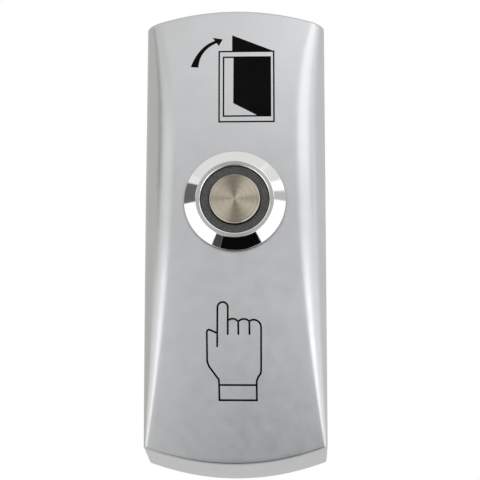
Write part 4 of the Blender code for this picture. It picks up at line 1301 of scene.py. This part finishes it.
@dataclass(frozen=True)
class BackPlate:
    """Stamped plate with keyholes, cable window and countersunk holes, and its two screws."""

    form: HousingForm
    screw: PlateScrew = PlateScrew()
    half_width: float = 13.7
    end_inset: float = 2.3
    thickness: float = 1.2
    rounding: float = 0.12
    boss_place: float = BOSS_PLACE
    keyholes: tuple[float, float] = (-27.5, 20.5)
    keyhole_radius: float = 3.8
    slot_radius: float = 2.1
    slot_rise: float = 6.5
    window_place: float = -10.8
    window: tuple[float, float, float] = (14.0, 12.0, 2.0)
    sink: Pairs = ((1.85, 1.2), (2.9, 0.15), (2.9, 0.0))
    seams: tuple[float, ...] = (-32.0, -17.85, -3.4, 13.0, 31.2)
    columns: int = 36
    rows: int = 44

    def keyhole(self, x: np.ndarray, z: np.ndarray) -> np.ndarray:
        """Whether a point lies in the round head, the slot or the slot's round end."""
        head = np.hypot(x, z) < self.keyhole_radius
        slot = (np.abs(x) < self.slot_radius) & (z > 0) & (z < self.slot_rise)
        return head | slot | (np.hypot(x, z - self.slot_rise) < self.slot_radius)

    def cable_window(self, x: np.ndarray, z: np.ndarray) -> np.ndarray:
        """Whether a point lies in the rounded rectangle."""
        width, length, corner = self.window
        dx = np.maximum(np.abs(x) - width / 2 + corner, 0.0)
        dz = np.maximum(np.abs(z) - length / 2 + corner, 0.0)
        return np.hypot(dx, dz) < corner

    def end(self, x: np.ndarray, sign: int) -> np.ndarray:
        """Height of the plate's arc-shaped end, less the rounding."""
        return sign * (self.form.reach(x) - self.end_inset - self.rounding)

    def stations(self) -> np.ndarray:
        """The columns' places across the plate."""
        return np.linspace(-1.0, 1.0, self.columns) * (self.half_width - self.rounding)

    def cell(self, low: np.ndarray, high: np.ndarray) -> np.ndarray:
        """Loop round a cell between two edges given as z over the columns."""
        x = self.stations()
        t = np.linspace(0.0, 1.0, self.rows)
        bottom, top = np.stack([x, low], -1), np.stack([x, high], -1)
        right = np.stack([np.full_like(t, x[-1]), low[-1] + t * (high[-1] - low[-1])], -1)
        left = np.stack([np.full_like(t, x[0]), low[0] + t * (high[0] - low[0])], -1)
        return np.vstack([bottom[:-1], right[:-1], top[:0:-1], left[:0:-1]])

    def pierced(self, loop: np.ndarray, centre: float, rings: list[tuple[np.ndarray, float]]
                ) -> Shell:
        """Upper sheet, wall of the hole and lower sheet of a cell.

        The rows are the cell's loop, rings round the hole at falling heights, and the loop again,
        and the columns are rays from the hole's centre.

        Args:
            loop: Points round the cell.
            centre: Height of the hole's centre.
            rings: Distance from the centre along each ray, and height, for each ring.

        Returns:
            The open shell of the cell.
        """
        angle = np.arctan2(loop[:, 1] - centre, loop[:, 0])
        rows = [np.column_stack([loop[:, 0], np.full(len(loop), self.thickness), loop[:, 1]])]
        for reach, height in rings:
            rows.append(np.column_stack([reach * np.cos(angle), np.full(len(loop), height),
                                         centre + reach * np.sin(angle)]))
        rows.append(rows[0] * np.array([1.0, 0.0, 1.0]))
        return grid_shell(np.stack(rows), False, True)

    def side(self, edges: list[np.ndarray], holes: list[tuple[float, Callable | None]],
             end: int) -> np.ndarray:
        """Heights of the points on one long side, as the cells beside it have them.

        Args:
            edges: Height of each cell's edge over the columns.
            holes: Centre of each cell's hole, not a number in a plain cell.
            end: Column of the side, 0 or -1.

        Returns:
            Heights from the lower end to the upper one.
        """
        parts = [low[end:][:1] if math.isnan(centre) else
                 np.linspace(low[end], high[end], self.rows)[:-1]
                 for low, high, (centre, _) in zip(edges, edges[1:], holes)]
        return np.concatenate([*parts, [edges[-1][end]]])

    def plate(self) -> Shell:
        """The whole plate, from its cells and its rounded edge."""
        x = self.stations()
        edges = [self.end(x, -1)] + [np.full_like(x, z) for z in self.seams] + [self.end(x, 1)]
        holes: list[tuple[float, Callable | None]] = [
            (-self.boss_place, None), (self.keyholes[0], self.keyhole),
            (self.window_place, self.cable_window), (math.nan, None),
            (self.keyholes[1], self.keyhole), (self.boss_place, None)]
        shells = []
        for low, high, (centre, inside) in zip(edges, edges[1:], holes):
            if math.isnan(centre):
                for height in (self.thickness, 0.0):
                    shells.append(grid_shell(np.stack([
                        np.column_stack([x, np.full_like(x, height), edge])
                        for edge in (low, high)])))
                continue
            loop = self.cell(low, high)
            angle = np.arctan2(loop[:, 1] - centre, loop[:, 0])
            if inside is None:
                rings = [(np.full_like(angle, radius), height) for radius, height in self.sink]
            else:
                reach = outline_reach(inside, angle, 20.0)
                rings = [(reach + self.rounding, self.thickness),
                         (reach, self.thickness - self.rounding), (reach, self.rounding),
                         (reach + self.rounding, 0.0)]
            shells.append(self.pierced(loop, centre, rings))
        x_right, x_left = np.array([x[-1], 0.0]), np.array([x[0], 0.0])
        rise = np.array([0.0, 1.0])
        border = np.vstack([
            np.stack([x, edges[0]], -1)[:-1],
            x_right + rise * self.side(edges, holes, -1)[:-1, None],
            np.stack([x, edges[-1]], -1)[:0:-1],
            x_left + rise * self.side(edges, holes, 0)[:0:-1, None]])
        along = np.roll(border, -1, axis=0) - np.roll(border, 1, axis=0)
        along /= np.linalg.norm(along, axis=1, keepdims=True)
        wide = border + self.rounding * np.stack([along[:, 1], -along[:, 0]], axis=-1)
        rows = [(border, self.thickness), (wide, self.thickness - self.rounding),
                (wide, self.rounding), (border, 0.0)]
        grid = np.stack([np.column_stack([ring[:, 0], np.full(len(ring), height), ring[:, 1]])
                         for ring, height in rows])
        shells.append(grid_shell(grid, False, True))
        return joined(shells)

    def build(self, finish: bpy.types.Material) -> None:
        """Make the plate and its two screws."""
        built("hanging_plate", self.plate(), finish, Body.HOUSING, ("base_plate",), True)
        for side, sign in (("upper", 1), ("lower", -1)):
            built(f"plate_screw_{side}", self.screw.shell(sign * self.boss_place), finish,
                  Body.HOUSING, (f"cover_screw_{side}",))


@dataclass(frozen=True)
class CarriedNodes:
    """CAD nodes that keep their solids and get a better finish."""

    finishes: dict[str, str] = field(default_factory=lambda: {
        "terminal_base": "nylon",
        "terminal_no_left": "brass",
        "terminal_no_right": "brass",
        "terminal_nc_upper": "brass",
        "terminal_nc_lower": "brass",
    })

    def dress(self, finishes: dict[str, bpy.types.Material]) -> None:
        """Write the finish into each node's material slots."""
        for node, finish in self.finishes.items():
            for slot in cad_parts[node].material_slots:
                slot.material = finishes[finish]
            LOG.info("%s: carried over, %s", node, finish)


# ---------------------------------------------------------------------------------------------
# Studio
# ---------------------------------------------------------------------------------------------


NEUTRAL = (1.0, 1.0, 1.0)
WARM = (1.02, 1.0, 0.945)
COOL = (0.985, 0.995, 1.03)


@dataclass(frozen=True)
class Area:
    """A part of the surroundings, as a range of azimuths and elevations in degrees.

    Azimuth 0 is straight in front of the button and grows to its right. Soft edges are given as
    a width in degrees, and the strength replaces what is there.
    """

    azimuth: tuple[float, float]
    elevation: tuple[float, float]
    strength: float
    soft: tuple[float, float]
    hue: tuple[float, float, float] = NEUTRAL

    def light(self) -> tuple[float, float, float]:
        """Strength of its red, green and blue."""
        return tuple(self.strength * part for part in self.hue)


@dataclass(frozen=True)
class Lamp:
    """A large soft lamp aimed at the button: its place in metres, its side and its watts."""

    name: str
    place: tuple[float, float, float]
    size: float
    power: float

    def add(self) -> None:
        """Put the lamp into the scene, seen by neither the camera nor reflections."""
        data = bpy.data.lights.new(self.name, "AREA")
        data.shape = "SQUARE"
        data.size = self.size
        data.energy = self.power
        lamp = bpy.data.objects.new(self.name, data)
        lamp.location = self.place
        back = np.array(self.place) / np.linalg.norm(self.place)
        lamp.rotation_euler = (math.acos(back[2]), 0.0, math.atan2(back[0], -back[1]))
        lamp.visible_camera = False
        lamp.visible_glossy = False
        bpy.context.scene.collection.objects.link(lamp)


@dataclass(frozen=True)
class Studio:
    """Camera, floor, surroundings and lamps."""

    target: tuple[float, float, float] = (0.00034, 0.0, 0.0028)
    distance: float = 0.43662
    azimuth: float = 1.45
    elevation: float = -13.6
    lens: float = 177.1
    floor_height: float = -0.62
    floor_reach: float = 900.0
    floor_fall: float = 0.02
    floor_lines: int = 41
    lamps: tuple[Lamp, ...] = (
        Lamp("key", (-0.5, -0.7, 0.6), 0.5, 3.5), Lamp("fill", (0.7, -0.6, 0.2), 0.6, 1.8))
    ambient: float = 0.85
    low: tuple[float, float, float] = (0.60, 0.60, 0.60)
    high: tuple[float, float, float] = (0.78, 0.78, 0.77)
    areas: tuple[Area, ...] = (
        # What the front panel reflects, from its top to its foot.
        Area((-15.0, 8.0), (26, 50), 0.84, (12.0, 14.0)),
        Area((-15.0, 8.0), (7, 26), 0.58, (12.0, 14.0)),
        Area((-14.0, 10.0), (-8, 7), 0.38, (12.0, 12.0), COOL),
        Area((-14.0, 12.0), (-44, -8), 0.20, (12.0, 10.0), COOL),
        # The shoulders' highlights, left and right, with a darker band across.
        Area((-46.0, -10.5), (-34, -6), 1.50, (10.0, 6.0)),
        Area((-46.0, -12.0), (-6, 9), 2.05, (10.0, 3.0)),
        Area((-46.0, -11.0), (16, 27), 1.22, (12.0, 3.0)),
        Area((10.0, 52.0), (-24, -6), 1.24, (8.0, 6.0), COOL),
        Area((10.0, 52.0), (-6, 9), 2.35, (8.0, 3.0), COOL),
        Area((10.0, 53.0), (16, 56), 1.52, (10.0, 3.0), COOL),
        Area((6.0, 40.0), (38, 56), 1.75, (10.0, 10.0), COOL),
        Area((64.0, 76.0), (-20, 56), 1.20, (3.0, 6.0)),
        Area((-54.0, -13.0), (9, 16), 0.40, (6.0, 3.0)),
        Area((11.0, 53.0), (9, 16), 0.42, (6.0, 3.0)),
        # The flange's bevel: white at its lower sides, black below, grey at its left and right.
        Area((-67.0, -33.0), (-65, 12), 1.12, (2.0, 3.0)),
        Area((35.4, 70.0), (-65, 14), 1.14, (2.0, 2.0)),
        Area((-24.3, 35.4), (-64, -28), 0.003, (1.0, 6.0)),
        Area((-34.8, -24.3), (-50, -28), 0.065, (1.0, 6.0), WARM),
        Area((-66.0, -54.0), (11.4, 14), 0.21, (3.0, 1.0), COOL),
        Area((-66.0, -54.0), (13, 33), 0.13, (3.0, 3.0), COOL),
        Area((-68.0, -50.0), (33, 41), 0.86, (4.0, 3.0)),
        Area((53.0, 64.0), (14, 25), 0.52, (2.0, 3.0), COOL),
        Area((53.0, 64.0), (25, 36), 1.25, (2.0, 6.0)),
        # The sides and the back of the studio.
        Area((-150.0, -74.0), (-60, 60), 0.66, (8.0, 20.0), WARM),
        Area((74.0, 150.0), (-60, 60), 0.80, (8.0, 20.0)),
        Area((-190.0, -140.0), (-60, 60), 0.72, (8.0, 20.0)),
        Area((140.0, 190.0), (-60, 60), 0.72, (8.0, 20.0)),
    )

    def add_camera(self) -> None:
        """Camera at the viewing angle of the picture, aimed by its own axes."""
        azimuth, elevation = math.radians(self.azimuth), math.radians(self.elevation)
        back = np.array([math.sin(azimuth) * math.cos(elevation),
                         -math.cos(azimuth) * math.cos(elevation), math.sin(elevation)])
        data = bpy.data.cameras.new("camera")
        data.lens = self.lens
        data.sensor_width = 36.0
        data.clip_start = 0.01
        camera = bpy.data.objects.new("camera", data)
        camera.location = np.array(self.target) + back * self.distance
        camera.rotation_euler = (math.pi / 2 - elevation, 0.0, azimuth)
        bpy.context.scene.collection.objects.link(camera)
        bpy.context.scene.camera = camera

    def add_floor(self) -> None:
        """Pale floor under the button, a fine grid that stays almost flat."""
        line = np.linspace(-self.floor_reach, self.floor_reach, self.floor_lines)
        x, y = np.meshgrid(line, line, indexing="ij")
        z = self.floor_height / MM - self.floor_fall * np.hypot(x, y) / self.floor_reach
        mesh = bpy.data.meshes.new("floor")
        points = np.stack([x, y, z], axis=-1).reshape(-1, 3) * MM
        mesh.from_pydata(points.tolist(), [],
                         grid_quads(self.floor_lines, self.floor_lines).tolist())
        floor = bpy.data.objects.new("floor", mesh)
        bpy.context.scene.collection.objects.link(floor)
        finish = FloorFinish("floor_paper", (0.86, 0.86, 0.86), (0.84, 0.84, 0.84), 0.0, 0.8,
                             0.05, 0.002, 0.00002, cloud_size=0.2)
        mesh.materials.append(finish.material())
        floor.visible_glossy = False

    def surroundings(self, sheet: NodeSheet) -> Socket:
        """Colour and strength of the surroundings by direction, area after area."""
        x, y, z = sheet.parts(sheet.node("ShaderNodeTexCoord").outputs["Generated"])
        degrees = 180.0 / math.pi
        azimuth = sheet.math("MULTIPLY", sheet.math("ARCTAN2", x, sheet.math("MULTIPLY", y, -1.0)),
                             degrees)
        elevation = sheet.math("MULTIPLY", sheet.math("ARCSINE", z), degrees)
        light = sheet.tint(sheet.span(elevation, -25.0, 50.0, 0.0, 1.0, True), self.low, self.high)
        for area in self.areas:
            mask = 1.0
            for value, (low, high), soft in ((azimuth, area.azimuth, area.soft[0]),
                                             (elevation, area.elevation, area.soft[1])):
                rise = sheet.span(value, low - soft / 2, low + soft / 2, 0.0, 1.0, True)
                fall = sheet.span(value, high - soft / 2, high + soft / 2, 1.0, 0.0, True)
                mask = sheet.math("MULTIPLY", mask, sheet.math("MULTIPLY", rise, fall))
            light = sheet.tint(mask, light, area.light())
        return light

    def add_world(self) -> None:
        """White to the camera, the studio's bright and dark areas to everything else."""
        world = bpy.data.worlds.new("studio")
        world.use_nodes = True
        sheet = NodeSheet(world.node_tree)
        output = sheet.node("ShaderNodeOutputWorld")
        background = sheet.node("ShaderNodeBackground")
        sheet.feed(output.inputs["Surface"], background.outputs[0])
        path = sheet.node("ShaderNodeLightPath")
        sheet.feed(background.inputs["Color"], sheet.tint(
            path.outputs["Is Camera Ray"], self.surroundings(sheet), NEUTRAL))
        sheet.feed(background.inputs["Strength"], sheet.span(
            path.outputs["Is Diffuse Ray"], 0.0, 1.0, 1.0, self.ambient))
        bpy.context.scene.world = world

    def build(self) -> None:
        """Set up the whole studio."""
        bpy.context.scene.view_settings.view_transform = "Standard"
        self.add_camera()
        self.add_floor()
        self.add_world()
        for lamp in self.lamps:
            lamp.add()


def main() -> None:
    """Build every piece and the studio, in the order in which the button goes together."""
    logging.basicConfig(level=logging.INFO, format="%(name)s: %(message)s")
    finishes = {item: getattr(Finishes(), item).material()
                for item in Finishes.__dataclass_fields__}
    form = HousingForm()
    Studio().build()
    FrontCover(form).build(finishes["satin"], finishes["casting"])
    DoorSign(Print(form, (-0.148, 0.06), stroke=0.28)).build(finishes["ink"])
    HandSign(Print(form, (-0.068, 0.01), stroke=0.33)).build(finishes["ink"])
    SwitchBody().build(finishes)
    PushButton().build(finishes)
    BackPlate(form).build(finishes["zinc"])
    CarriedNodes().dress(finishes)
    bpy.context.view_layer.update()


if __name__ == "__main__":
    main()
